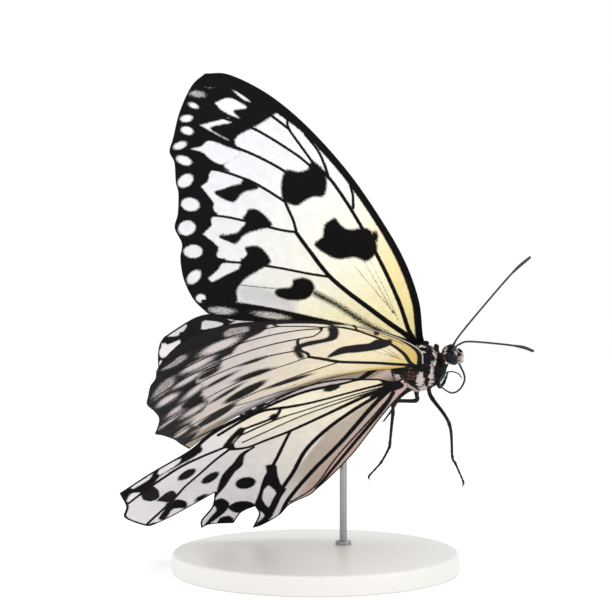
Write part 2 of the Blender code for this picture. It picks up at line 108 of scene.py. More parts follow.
def join(*parts):
    """One (points, faces) from several, with each part's corner numbers moved along."""
    starts = np.cumsum([0] + [len(points) for points, _ in parts])
    faces = [rows + start for (_, found), start in zip(parts, starts) for rows in found]
    return np.concatenate([points for points, _ in parts]), faces


def add_object(name, data):
    """An object at the origin that shows a mesh, a lamp or a camera."""
    made = bpy.data.objects.new(name, data)
    bpy.context.scene.collection.objects.link(made)
    return made


def make_piece(name, part, finish, nodes=(), values=None, sharp=50):
    """A smooth-shaded mesh piece in the model's frame, from points in mm, that stands for CAD nodes."""
    points, faces = part
    mesh = bpy.data.meshes.new(name)
    mesh.from_pydata(points * MM, [], [row for rows in faces for row in rows.tolist()])
    for key, row in (values or {}).items():
        kind, field = ("FLOAT_COLOR", "color") if row.ndim == 2 else ("FLOAT", "value")
        mesh.attributes.new(key, kind, "POINT").data.foreach_set(field, row.astype(np.float32).ravel())
    mesh.shade_smooth()
    mesh.set_sharp_from_angle(angle=math.radians(sharp))
    mesh.materials.append(finish)
    piece = add_object(name, mesh)
    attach(piece, "root")
    if nodes:
        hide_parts(*nodes)
    print(name, len(mesh.vertices), "points,", sum(len(p.vertices) - 2 for p in mesh.polygons), "triangles")
    return piece


# %% [markdown]
# ## Where the animal stands
# The butterfly is built in its own frame, x to the head, y to its left and z out of its back, and
# then turned as it is caught in the picture: head towards the viewer, nose up, back rolled forward.
# These are the same three turns and the same place as the solids have.

# %% The pose
THORAX_PLACE = np.array([21.2, -7.3, 43.4])
BODY_YAW, BODY_PITCH, BODY_ROLL = np.radians([-26.2, 18.9, 46.5])


def turn_about(axis, angle):
    """The 3 x 3 matrix of a turn about one axis: cosines on the diagonal, sines off it."""
    c, s = math.cos(angle), math.sin(angle)
    a, b = [(1, 2), (2, 0), (0, 1)][axis]
    made = np.eye(3)
    made[a, a], made[b, b], made[a, b], made[b, a] = c, c, -s, s
    return made


TURN = turn_about(2, BODY_YAW) @ turn_about(1, -BODY_PITCH) @ turn_about(0, BODY_ROLL)


def posed(points):
    """Points of the animal's frame in the model's frame: place + turn times point."""
    return THORAX_PLACE + np.asarray(points, float) @ TURN.T


print("the head looks along", np.round(TURN[:, 0], 2), "and the back faces", np.round(TURN[:, 2], 2))

# %% [markdown]
# ## Wings
# A butterfly's wing is a flat plan, bent: its outline and its veins are drawn on paper first, with u
# along the wing and v towards its rear edge, and a place function then bends the paper into the air.
# Both are those of the solids, so the dressed wing lies inside the solid one. The near forewing
# droops and twists as it beats, the far one is almost flat, and both hindwings fold their front edge
# down so that it passes under the forewing.

# %% Wing places
FOREWING_ROOT, HINDWING_ROOT = (0.8, 3.35, 2.8), (-5.4, 3.7, -0.7)
WING_LENGTH = 69
FOREWING_RISE, FOREWING_SWEEP = {"left": 66.7, "right": 67.3}, {"left": 11.5, "right": 15.2}
HINDWING_RISE, HINDWING_SPLAY = 86.0, {"left": 17.0, "right": 14.0}
SHOULDER_BEND, SHOULDER_LINE, SHOULDER_DEPTH = {"left": 4.0, "right": 3.1}, -1.0, 12.0
LEFT_CAMBER = 1.2
TIP_DROOP, SPAN_BEND, TWIST, REAR_TWIST, CHORD_BEND = 10.5, 5.2, 13.6, 6.9, 5.0
BUNCHING, BOW, TAPER, SPREAD = 0.23, 0.095, 0.38, 0.45


def forewing_place(side, u, v):
    """Root + along * u + rear * v + upper * lift, where the near wing also droops and bunches to its tip."""
    hand = HAND[side]
    rise, sweep = math.radians(FOREWING_RISE[side]), math.radians(FOREWING_SWEEP[side])
    (sweep_sin, sweep_cos), (rise_sin, rise_cos) = [(math.sin(a), math.cos(a)) for a in (sweep, rise)]
    along = np.array([-sweep_sin, hand * sweep_cos * rise_cos, sweep_cos * rise_sin])
    upper = np.array([0, -hand * rise_sin, rise_cos])
    rear = np.array([-sweep_cos, -hand * sweep_sin * rise_cos, -sweep_sin * rise_sin])
    span, chord = u / WING_LENGTH, v / WING_LENGTH
    arch = u * (1 - span)
    lift = LEFT_CAMBER * 4 * span * (1 - span)
    if side == "right":
        lift = -(SPAN_BEND * span ** 2 + TIP_DROOP * span ** 3 + TWIST * span * chord
                 + REAR_TWIST * span ** 2 * chord + CHORD_BEND * chord ** 2)
        u, v = u - BUNCHING * arch, v * (1 - TAPER * span) - BOW * arch + SPREAD * v * v / 30
    root = np.array(FOREWING_ROOT) * (1, hand, 1)
    return root + np.outer(u, along) + np.outer(v, rear) + np.outer(lift, upper)


def hindwing_place(side, u, v):
    """Root + along * u + inner * v, with the front edge bent down by a smooth step across v."""
    hand = HAND[side]
    rise, splay = math.radians(HINDWING_RISE), math.radians(HINDWING_SPLAY[side])
    (splay_sin, splay_cos), (rise_sin, rise_cos) = [(math.sin(a), math.cos(a)) for a in (splay, rise)]
    along = np.array([-splay_cos, hand * splay_sin * rise_sin, -splay_sin * rise_cos])
    inner = np.array([0, -hand * rise_cos, -rise_sin])
    under = np.cross(inner, along) * hand
    part = np.clip((SHOULDER_LINE - v) / SHOULDER_DEPTH, 0, 1)
    bend = part * part * (3 - 2 * part) * np.clip(u / 3, 0, 1) * SHOULDER_BEND[side]
    root = np.array(HINDWING_ROOT) * (1, hand, 1)
    return root + np.outer(u, along) + np.outer(v, inner) + np.outer(bend, under)


# %% [markdown]
# The outlines are a few strokes each, smooth along a stroke and cornered where two meet. The far
# hindwing is whole. The near one has lost two bites of its edge, as an old flier's wing has.

# %% Wing outlines
FOREWING_OUTLINE = {
    "left": [
        [(-1.6, -1.3), (0.5, -2), (7.1, -6.1), (15.5, -9), (24.8, -10.4), (36.6, -10.9), (48.5, -9.7),
         (58.3, -7), (66.1, -2.6), (69.3, 1.6)],
        [(69.3, 1.6), (69, 5.6), (66.4, 11.2), (63.1, 15.8), (61.3, 18.4), (58.9, 19), (55.6, 21.4),
         (53.4, 22.5), (50.1, 25.5), (48.1, 28.1), (44.6, 29), (42.2, 31.5), (38.2, 33.9), (33.5, 35),
         (29.4, 34.4)],
        [(29.4, 34.4), (24.5, 29.6), (17, 18.9), (8, 8.6), (0.6, 1.9), (-1.6, 1.3)],
        [(-1.6, 1.3), (-1.6, -1.3)]],
    "right": [
        [(-1.6, -1.3), (0.3, -2.4), (3.9, -4.8), (8.2, -6.4), (17.2, -7.8), (27.2, -8.6), (36.8, -9),
         (45, -8.8), (50.7, -8.8), (56.4, -9.5), (61.5, -8.6), (65, -5.9), (66.4, -2.4), (66.7, 1.5)],
        [(66.7, 1.5), (66.2, 4.4), (64.8, 7.5), (64.3, 10), (62.2, 13.8), (60.1, 16.8), (55.6, 20.2),
         (51.1, 23.5), (47.6, 26.9), (46, 28.5), (43.4, 29.3), (39.8, 30.4), (35.8, 31.6), (31.5, 33),
         (25.9, 34.4)],
        [(25.9, 34.4), (27, 28.5), (25.2, 23), (21.5, 18.3), (18.6, 14.6), (15.2, 11.2), (9.3, 6.7),
         (5.8, 4.6), (0.6, 1.9), (-1.6, 1.3)],
        [(-1.6, 1.3), (-1.6, -1.3)]]}
HIND_FRONT = {
    "left": [(-3, -1), (0.3, -2.4), (4.4, -6.9), (15.7, -12.9), (28.7, -14.9), (36.8, -15.8),
        (42.5, -17.3), (47.7, -17), (54.7, -14.9), (61, -12.7)],
    "right": [(-3, -1), (-0.1, -1.8), (2, -5.2), (4.4, -9.6), (8, -12.8), (14.6, -15.4), (27.5, -16.8),
        (35, -17), (41.5, -15.6), (50.9, -15.5), (59.5, -14.9)]}
HIND_TIP = {
    "left": [(63.6, -10.9), (65.6, -8.1), (66.9, -4.2), (65.6, -0.4), (62.4, 2.6)],
    "right": [(61, -10.6), (63.9, -7.3), (64.1, -3.2), (62.9, -0.2), (61.1, 0.5)]}
HIND_MARGIN = {
    "left": [
        [(62.4, 2.6), (60.2, 5.6), (55.6, 8.8), (51.4, 11.9), (46.6, 15.2), (41.2, 17), (36, 16.6),
         (28.8, 14.7)]],
    "right": [
        [(61.1, 0.5), (56.2, 0.9), (46, 0.9)],
        [(46, 0.9), (48.9, 4.1), (53.1, 6.1), (54.5, 8.1)],
        [(54.5, 8.1), (52.2, 8.5), (48.3, 11.5)],
        [(48.3, 11.5), (45, 9.8), (41.8, 10.2)],
        [(41.8, 10.2), (42.6, 12.9), (46, 15.6)],
        [(46, 15.6), (43.8, 16.2), (39.3, 16.1), (35.7, 14.8), (30.8, 15.2), (28.8, 14.7)]]}
WHOLE_MARGIN = {
    "left": [(61, -12.7), *HIND_TIP["left"], *HIND_MARGIN["left"][0][1:-1]],
    "right": [(59.5, -14.9), *HIND_TIP["right"], (59.6, 3.4), (57.4, 5.6), (54.6, 8.6), (50.2, 12),
        (45.8, 15.4), (41.2, 16.6)]}
HIND_REAR = [(28.8, 14.7), (24, 13.3), (17.4, 10.8), (11.9, 8), (7, 5.4), (1.8, 3), (-3, 1.4)]
HINDWING_OUTLINE = {
    side: [HIND_FRONT[side], [HIND_FRONT[side][-1], *HIND_TIP[side]], *HIND_MARGIN[side], HIND_REAR,
           [HIND_REAR[-1], HIND_FRONT[side][0]]] for side in SIDES}

# %% [markdown]
# A few plan tools do all the drawing: a smooth curve through given points, the distance from every
# point to a line, and the signed distance into a closed patch. They work on all the points of a wing
# at once.

# %% Plan tools
def smooth(knots, step):
    """Points about a step apart on the Catmull-Rom cubic through the knots, both ends included."""
    knots = np.asarray(knots, float)
    ends = np.concatenate([[2 * knots[0] - knots[1]], knots, [2 * knots[-1] - knots[-2]]])
    pieces = [knots[:1]]
    for a, b, c, d in zip(ends, ends[1:], ends[2:], ends[3:]):
        t = np.arange(1, max(1, round(np.linalg.norm(c - b) / step)) + 1)[:, None]
        t = t / t[-1]
        pieces.append(0.5 * (2 * b + (c - a) * t + (2 * a - 5 * b + 4 * c - d) * t ** 2
                             + (3 * b - a - 3 * c + d) * t ** 3))
    return np.concatenate(pieces)


def closed_outline(strokes, step):
    """The strokes one after another, each smooth, with the corner between two kept once."""
    return np.concatenate([smooth(stroke, step)[:-1] for stroke in strokes])


def near_line(points, line):
    """Each point's distance from a line of short chords, and how far along the line it is nearest."""
    best, run, start = np.full(len(points), 1e9), np.zeros(len(points)), 0.0
    for a, b in zip(line[:-1], line[1:]):
        length = max(np.linalg.norm(b - a), 1e-9)
        t = np.clip((points - a) @ (b - a) / length ** 2, 0, 1)
        squared = np.sum((points - a - t[:, None] * (b - a)) ** 2, axis=1)
        closer = squared < best
        best, run = np.where(closer, squared, best), np.where(closer, start + t * length, run)
        start += length
    return np.sqrt(best), run


def line_distance(points, line):
    """Each point's distance from a line of short chords."""
    return near_line(points, line)[0]


def inside(points, outline):
    """Whether each point is inside an outline: a line to the right crosses it an odd number of times."""
    hit = np.zeros(len(points), bool)
    for a, b in zip(outline, np.roll(outline, -1, axis=0)):
        if a[1] != b[1]:
            crosses = (a[1] > points[:, 1]) != (b[1] > points[:, 1])
            hit ^= crosses & (points[:, 0] < a[0] + (b[0] - a[0]) * (points[:, 1] - a[1]) / (b[1] - a[1]))
    return hit


def patch(points, knots):
    """Signed distance into a rounded patch: plus the distance to its edge inside, minus it outside."""
    edge = smooth([*knots, knots[0]], 0.8)
    distance = line_distance(points, edge)
    return np.where(inside(points, edge[:-1]), distance, -distance)


def ramp(value, low, high):
    """0 below low, 1 above high and smooth between: t * t * (3 - 2 t)."""
    t = np.clip((value - low) / (high - low), 0, 1)
    return t * t * (3 - 2 * t)


def oval(points, u, v, long_half, short_half, angle):
    """Nearly the signed distance into an oval: (1 - its own radius measure) times the short half axis."""
    c, s = math.cos(math.radians(angle)), math.sin(math.radians(angle))
    x, y = points[:, 0] - u, points[:, 1] - v
    return (1 - np.hypot((x * c + y * s) / long_half, (y * c - x * s) / short_half)) * short_half


def deepest(points, marks):
    """The largest signed distance into any mark: a list of knots is a patch, five numbers are an oval."""
    return np.maximum.reduce([patch(points, mark) if isinstance(mark, list) else oval(points, *mark)
                              for mark in marks])


# %% [markdown]
# ## The ink of the forewing
# The wing is pale scales, with black scales along every vein and in bold blots. A drawn map of
# distances says it best: each vein, blot or spot gives a number that is plus inside and minus outside,
# in units of how soft its edge is. The larger of two such numbers adds black to black, and the
# smaller of one and the other's opposite cuts white into it. Veins come last, so they cross the spots.
# The far forewing shows its crisp upper side. The near one shows its worn under side, where the same
# marks have run into streaks, so it has marks of its own.

# %% Forewing lines
# half width in mm at the root end and at the tip end, then points through which the vein runs
FORE_LINES = {
    "radius": (0.5, 0.36, [(0, 0), (3, -0.3), (8.5, -2.3), (14, -3.8), (19, -4.9), (26.3, -6.1),
        (32.6, -6.8), (38.3, -6.9), (41.9, -6)]),
    "radius_1": (0.32, 0.28, [(30.4, -7.2), (32.6, -8.8), (34.5, -9.6)]),
    "radius_2": (0.32, 0.28, [(38.1, -6.9), (41.1, -7.9), (44, -8.5), (47.8, -8.3)]),
    "radius_3": (0.3, 0.28, [(42.1, -6.1), (45.8, -6.1), (50.6, -6.2), (52.1, -7)]),
    "radius_5": (0.32, 0.3, [(50.6, -6.2), (54.9, -4.8), (59, -3.5), (63.4, -1.7), (69, 2)]),
    "media_1": (0.3, 0.3, [(41.7, -5.3), (45.9, -4.1), (53.8, -0.6), (59, 3.1), (64, 7.5), (66.9, 10.2)]),
    "media_2": (0.32, 0.3, [(43.4, -0.4), (47.6, 1.6), (51.6, 4), (56.9, 7.8), (59.9, 11), (63.1, 15.8)]),
    "media_3": (0.32, 0.28, [(39.3, 4), (43.3, 5.7), (47.1, 7.7), (52.4, 11.9), (54.9, 15.3),
        (57.8, 20.5)]),
    "cell_end": (0.32, 0.34, [(41.9, -6), (40.8, -4.6), (41, -1.8), (43.4, -0.4), (42.5, 1.6),
        (39.4, 3.9), (35.3, 5), (32.9, 6.1)]),
    "cubitus": (0.66, 0.44, [(0, 0.5), (2.4, 0.8), (6.6, 2.2), (11.7, 3.7), (17.1, 5.3), (22.1, 6.3),
        (28.4, 6.3), (32.8, 6.2)]),
    "cubitus_1": (0.3, 0.26, [(32.9, 6.1), (35.4, 8.9), (40.3, 13.4), (44.9, 18.2), (49.8, 25.7)]),
    "cubitus_2": (0.3, 0.26, [(21.8, 6.7), (24.5, 9.7), (30.3, 15.8), (36, 22.9), (39.3, 28.7),
        (41, 33.1)]),
    "fold": (0.1, 0.1, [(23.6, 15.1), (26.6, 19.1), (30.3, 23.8)]),
    "anal": (0.38, 0.44, [(0.5, 1), (2.8, 2.5), (7.2, 6.3), (13.7, 12.9), (19.8, 18.9), (24.5, 23.8),
        (27.2, 27.3), (32.1, 33.4)]),
    "crease_1": (0.03, 0.1, [(22.8, 0.5), (15, 0.2), (7.5, -0.1)]),
    "crease_2": (0.03, 0.1, [(21, -2), (14, -1), (7.9, 0.1)]),
    "crease_3": (0.03, 0.08, [(19.3, -3), (13, -1.7), (6.1, 0.2)])}
FUZZY_STRIPE = [(20.4, 11.4), (15.7, 9), (9.3, 6.5), (4.8, 4.2)]
COSTA_BLACK = [(-2, 1.5), (5, 1.6), (15, 1.6), (25, 1.5), (36, 1.5), (48, 1.6), (58, 2.5), (70, 3)]

# %% Forewing blots, all as rounded patches or ovals in mm
FORE_BLACK = {
    "margin": [(54.5, -8.5), (54.9, -1.5), (55.6, 3.9), (54.7, 5.3), (52.5, 5.8), (52.6, 10.2),
        (50.5, 10), (48.5, 13.5), (46.5, 17.5), (43.5, 18.5), (41, 20), (38.5, 23.5), (34.5, 22),
        (31.5, 23), (30, 25.5), (27.8, 27.4), (24, 29), (26, 40), (50, 38), (75, 15), (74, -8),
        (60, -14)],
    "m2": [(57.3, 12.1), (57.2, 10.8), (56, 8.7), (54, 7.5), (53.2, 9), (55, 11.2)],
    "m3": [(49.3, 15.7), (49, 13.3), (47.4, 9.6), (47.9, 8.1), (44.7, 6.8), (45.8, 10.3), (45.3, 13.3),
        (47.1, 15)],
    "cu1": [(41.6, 13.6), (42.2, 12.2), (41.7, 10.6), (39.8, 9.7), (36.9, 9.6), (37.6, 12.1),
        (38.6, 15.8), (38.2, 19.2), (41.1, 20.8), (39.7, 16.6)],
    "cu2": [(36.3, 17.4), (34.8, 15), (31.9, 14.6), (30.8, 14.9), (31, 21.5), (30.7, 23.5), (29.9, 25.6),
        (27.8, 27.4), (30.6, 31.8), (34.3, 29.2), (33.9, 24.8), (33.5, 21.7), (35.1, 19.6)],
    "cell_end": [(43.8, 0.9), (44.2, -0.6), (42.6, -2.2), (41.9, -4.4), (42.8, -6.1), (39.9, -6.9),
        (37.7, -5.9), (35.8, -3.6), (36.9, -1.6), (37.2, 0.6), (37.4, 2.6), (39.8, 4), (42.2, 2.6)],
    "cell": [(30.8, -2.6), (28.4, -2.8), (27, -3.8), (26, -6), (24.5, -7.2), (20.8, -5.8), (19.9, -2.5),
        (21.9, -0.9), (24, 2.8), (28.6, 4.6), (29, 2), (30.8, 0.1)],
    "inner_edge": [(32.1, 34.5), (31, 31), (27.6, 26.8), (24.5, 23.3), (19.8, 18.4), (13.7, 12.6),
        (10, 9.2), (12, 14), (17, 21), (24.5, 31), (29.4, 37)],
    "low": [(25.1, 13.4), (24.3, 11.3), (22.6, 10.2), (20.8, 11.2), (20.4, 13.9), (22.1, 17),
        (24.5, 18.7), (25.4, 17.7), (24.1, 14.8)]}
FORE_WHITE = {
    "r5": [(63.6, -1.2), (62.8, -2.5), (60.8, -3.3), (59.3, -3.2), (60.3, -2.1), (61.7, -1.6)],
    "m1": [(63.5, 3.6), (62.6, 0.5), (60.5, -0.9), (58.9, -1.5), (60.1, 1.4), (58.1, 1.1), (59.7, 2.3),
        (61.5, 3.3)],
    "m2": [(61.8, 9.2), (60.8, 6.6), (59.4, 3), (58.4, 3), (60.1, 7.8), (55.9, 5.9), (59.1, 7.8)],
    "m3": [(59.1, 14.1), (58.2, 11.6), (58.4, 10.4), (57.7, 9), (55.4, 7.4), (52.4, 5.5), (52.8, 10.2),
        (55.2, 11.9), (57.1, 12.3)],
    "cu1": [(51.8, 17.3), (51.8, 15.3), (53, 13.2), (50.5, 9.8), (48, 9.1), (48.6, 13.1), (49.3, 15.7),
        (47.1, 15), (43.4, 12.4), (41.8, 13.1), (45.9, 18.2), (47.5, 17.2)],
    "cu2": [(43.6, 23.6), (44.1, 20.6), (45.4, 19.2), (41.4, 14), (40.1, 15.3), (41.4, 20.9),
        (39.2, 19.9), (36.1, 17.9), (34.7, 19.3), (37.9, 24.1), (39.6, 22.6)],
    "anal": [(35.4, 29.1), (35.8, 25.6), (36.3, 24), (34.2, 21.1), (33.5, 21.7), (33.9, 24.8),
        (34.4, 28.9)]}
# the near wing's outer part is dark, with light streaks drawn out between the veins
NEAR_BLACK = {
    "margin": [(50, -9.6), (49.3, -4.1), (51, -1.4), (52, 1.1), (51.5, 4.5), (52.7, 5.5), (51, 8.9),
        (53.6, 10.1), (53.1, 12.6), (48.8, 15.7), (45.7, 19.1), (41.9, 20.8), (40.1, 23.2), (38.2, 27.2),
        (32.9, 28.7), (30.3, 32), (30, 38), (50, 38), (75, 15), (74, -8), (60, -14)],
    "cell_end": [(33.1, -6.9), (30.2, -3), (29.8, -0.7), (32.8, 1.6), (35.3, 3.5), (31.4, 6.6),
        (32.1, 7.1), (36, 4.7), (37.5, 2.6), (36, 1), (32.3, -1.1), (32.9, -3.3), (34.9, -6)],
    "cell": [(16.4, -6), (14.8, -3.9), (15.7, -0.9), (19.3, 1.9), (22.3, 3.3), (25.3, 5.6), (25.6, 1.9),
        (23.3, -0.1), (20.2, -2.1), (19.8, -4.4)]}
# u, v, half length, half width and angle of each oval; a dim one is half covered with black scales
NEAR_DARK = [(43.6, 8, 2.3, 0.8, 31), (39, 12.8, 3.4, 1.2, 30), (34.6, 18.3, 3.6, 1.9, 62),
    (46.5, 14, 2.8, 0.8, 53), (39.7, 18.6, 2.8, 0.8, 70), (26.3, 14.4, 4, 0.9, 39),
    (20.9, 19, 3.6, 1.4, 54), (33.4, 25.2, 3.4, 2.1, 79), (46.7, 20.1, 1.7, 2.2, 82),
    (51.9, 10.7, 2, 1.2, 47)]
NEAR_LIGHT = [(56.2, 0.1, 3.4, 2.1, 40), (57.4, 6.1, 2.7, 1.8, 43), (56, 11.4, 2.2, 1.4, 59),
    (55.5, 17.1, 1.6, 1.7, 65), (50.4, 15.9, 2.5, 1.2, 92), (48.9, 21.7, 1.5, 1.1, 83),
    (46.8, 24.7, 2, 0.9, 83), (42.9, 23, 1.9, 1.5, 72), (38.3, 23.9, 3.1, 1.3, 49),
    (29.4, 26.7, 4.3, 1.3, 40), (37.5, 29.2, 1.2, 1.6, 31)]
NEAR_DIM = [(55.3, -5.3, 2.2, 2.5, 31), (54.5, 7.9, 2.2, 0.9, 30), (64, 2.6, 2, 2.1, 65),
    (60.3, 12, 3.2, 1.4, 108)]
NEAR_SEAM = [(19.6, 15.2), (24.1, 17.9), (28.7, 21.3), (32.5, 23.4), (33, 27), (32.3, 30.3)]
NEAR_REAR = [(25.2, 23), (21.5, 18.3), (18.6, 14.6), (15.2, 11.2), (9.3, 6.7), (5.8, 4.6), (0.6, 1.9)]
MARGIN_SPOTS = [(65.7, 7.8, 1, 0.5, 38), (64.5, 10.8, 1.3, 0.7, 67), (62.5, 12.3, 1.3, 0.8, 45),
    (61, 15.6, 1.5, 0.7, 76), (58.1, 16.9, 1.7, 0.9, 39), (54.6, 19.4, 1.9, 1.2, 89),
    (50.1, 21.8, 2, 1.4, 55), (46.6, 25.8, 2, 1.5, 80), (41.9, 28, 2.1, 1.4, 65),
    (37.4, 31.6, 2, 1.1, -81), (32.9, 33.4, 1.1, 0.9, 81)]
DIM_SPOTS = [(67.4, 2.7, 1.2, 0.5, 42), (67, 5.6, 1.5, 0.6, 52), (28.2, 31.2, 2.8, 0.8, 54),
    (59.4, -4.8, 1.7, 0.5, 28), (21.5, 22.6, 3.6, 0.7, 50)]
# the near wing is foreshortened where it bends, and its pattern is drawn along this stretched ruler
NEAR_RULER = ([0, 24, 36, 46, 66.7], [0, 25, 41, 50, 69])

# %% Forewing ink
CRISP, GRAINY, FUZZY = 0.13, 0.34, 0.75        # how soft an edge is, mm to each side
LIGHT_EDGE, DIM_EDGE = {"left": 0.25, "right": 0.6}, {"left": 0.5, "right": 0.6}
DIM_LEVEL, NO_INK = 0.35, -9.0         # a dim spot leaves the ink half drawn
CREASE, SEAM, STRIPE = 0.15, 0.2, 0.62 # a thinner line than a crease is drawn but doesn't stand out, mm
WEAR, WORN_SPAN = 0.35, (24, 42)       # share of the near wing's ink that is lost, growing along u
CELL_SPOT = (23.1, -7.1, 1.3, 0.7, -40)
EVEN_RULER = 1.035                     # towards its rear edge the near wing's ruler is even
FRONT_LINE = ([0, 8, 15, 40], [1.3, 1, 0.4, 0.3])      # width of the under side's front line along u
SECOND_LINE, SECOND_FROM, BORDER_SPAN = 1.5, 12, (30, 38)      # then one more, and at last the border


def vein_ink(points, lines):
    """The most that any line gives: (its half width, even along it, less the distance) / edge softness."""
    ink, nearest = np.full(len(points), NO_INK), np.full(len(points), 9.0)
    for start, stop, knots in lines.values():
        line = smooth(knots, 0.9)
        distance = line_distance(points, line)
        chord = line[-1] - line[0]
        part = np.clip((points - line[0]) @ chord / (chord @ chord), 0, 1)
        half = start + (stop - start) * part
        ink = np.maximum(ink, (half - distance) / CRISP)
        if max(start, stop) > CREASE:
            nearest = np.minimum(nearest, distance)
    return ink, nearest


def fore_ink(points, side, edge, front):
    """Blots and margin, minus the white spots, plus veins, the front border and a thin edge line."""
    u, v = points.T
    near = side == "right"
    drawn, black, light, dim = points, FORE_BLACK, [*FORE_WHITE.values(), *MARGIN_SPOTS], DIM_SPOTS
    if near:
        ruler = np.interp(u, *NEAR_RULER)
        drawn = np.stack([ruler + (EVEN_RULER * u - ruler) * ramp(v, 1, 15), v], 1)
        black, light, dim = NEAR_BLACK, NEAR_LIGHT, NEAR_DIM
    black = np.maximum(0.3 + deepest(points, black.values()) / GRAINY, oval(drawn, *CELL_SPOT) / GRAINY)
    ink = np.minimum(black, -deepest(points, light) / LIGHT_EDGE[side])
    half_drawn = np.clip(deepest(points, dim) / DIM_EDGE[side], NO_INK, DIM_LEVEL)
    ink = np.minimum(ink, DIM_LEVEL - half_drawn)
    if near:
        # the tip of the near wing is worn: its scales thin out at every edge of a mark
        ink = np.maximum(ink, 0.4 + deepest(points, NEAR_DARK) / 0.35)
        ink = np.clip(ink, -3, 3) * (1 - WEAR * ramp(u, *WORN_SPAN))
        ink = np.maximum(ink, (SEAM - line_distance(points, smooth(NEAR_SEAM, 1))) / 0.2)
    else:
        ink = np.maximum(ink, (STRIPE - line_distance(drawn, smooth(FUZZY_STRIPE, 1))) / FUZZY)
    veins, nearest = vein_ink(drawn, FORE_LINES)
    rim = (0.3 - edge) / CRISP
    border = (np.interp(u, *zip(*COSTA_BLACK)) - front) / 0.2
    upper = np.maximum.reduce([ink, veins, border, rim])
    # the under side has one or two thin lines along the front instead of the border
    half = np.interp(u, *FRONT_LINE) / 2
    lines = (half - np.abs(front - 0.3 - half)) / CRISP
    second = (0.13 - np.abs(front - SECOND_LINE)) / CRISP
    lines = np.where(u < SECOND_FROM, lines, np.maximum(lines, second))
    tip = ramp(u, *BORDER_SPAN)
    # before the border the under side's front edge keeps no dark rim, so the painted highlight along it shows
    under = [ink, veins, lines * (1 - tip) + border * tip, np.where(front < 0.5, tip * 9 - 9, rim)]
    return upper, np.maximum.reduce(under), nearest


# %% [markdown]
# ## The ink of the hindwing
# The hindwing carries the same design in a rounder plan: veins that fan from the root, two rows of
# black spots across its outer third, a dark front border with pale windows in it, and one dark oval
# near the shoulder. A whole wing has a row of pale half moons along its edge, as the far one has. The
# near one's edge is worn down to a thin dark rim.

# %% Hindwing lines and blots
HIND_LINES = {
    "shoulder": (0.42, 0.34, [(0.8, -3.4), (3.8, -8.4), (6.8, -10.4), (14.9, -14.2), (27.4, -16.2),
        (34.7, -16.5), (40.5, -15.3)]),
    "radial": (0.46, 0.36, [(1, -2.2), (12.2, -8.7), (20.4, -13.4), (23.9, -15.2), (28.1, -15.6),
        (34.4, -15.4)]),
    "cell_front": (0.34, 0.3, [(20.4, -13.4), (22.9, -12.2), (29.7, -13.5)]),
    "thin_1": (0.26, 0.26, [(2.2, -1.9), (12.1, -6.7), (17.3, -9.1), (22.8, -11.2), (30.9, -12.4)]),
    "thin_2": (0.28, 0.26, [(3.6, -2), (12, -5.1), (20, -8), (31.9, -10.1)]),
    "cubitus": (0.58, 0.48, [(0.8, -1.3), (7.1, -2.3), (15.2, -3.3), (23.2, -4.5), (28.6, -6.1),
        (32.5, -7.4), (35.1, -10.2)]),
    "media_1": (0.36, 0.32, [(35.3, -11.6), (40.8, -12.6), (45.6, -13), (50.9, -12.6), (55, -12.1),
        (61, -11)]),
    "media_2": (0.4, 0.32, [(35.1, -10.2), (39.3, -9.3), (44.1, -7.6), (49.1, -5.9), (52.6, -4.1),
        (56.5, -2.6), (62.5, -0.8)]),
    "media_3": (0.4, 0.32, [(31.7, -6.1), (34.8, -5.4), (40.9, -1.6), (46.5, 1.8), (55, 7)]),
    "cubitus_1": (0.38, 0.5, [(23.5, -4.4), (27.1, -1.4), (31.1, 1.6), (35.3, 4.4), (38.8, 7.8),
        (41.3, 10), (46, 14)]),
    "cubitus_2": (0.5, 0.5, [(2, -0.7), (4.8, -0.6), (10.7, -0.3), (17.5, 0.7), (24.1, 2.9), (29.8, 6.8),
        (34.8, 9.7), (38, 11.8), (42.5, 15.8)]),
    "anal_1": (0.58, 0.5, [(1.1, -0.5), (6.6, 1.3), (16.9, 5.8), (26.8, 9.4), (34.9, 13.1),
        (38.7, 15.9)]),
    "anal_2": (0.5, 0.36, [(1.5, 0.9), (5.4, 3.4), (15.9, 8.3), (24.9, 12.6), (28.6, 14.3)]),
    "anal_3": (0.24, 0.2, [(1.5, 0.9), (7.4, 3.6), (19.7, 8.8), (28.8, 13.6), (35.2, 14.1)])}
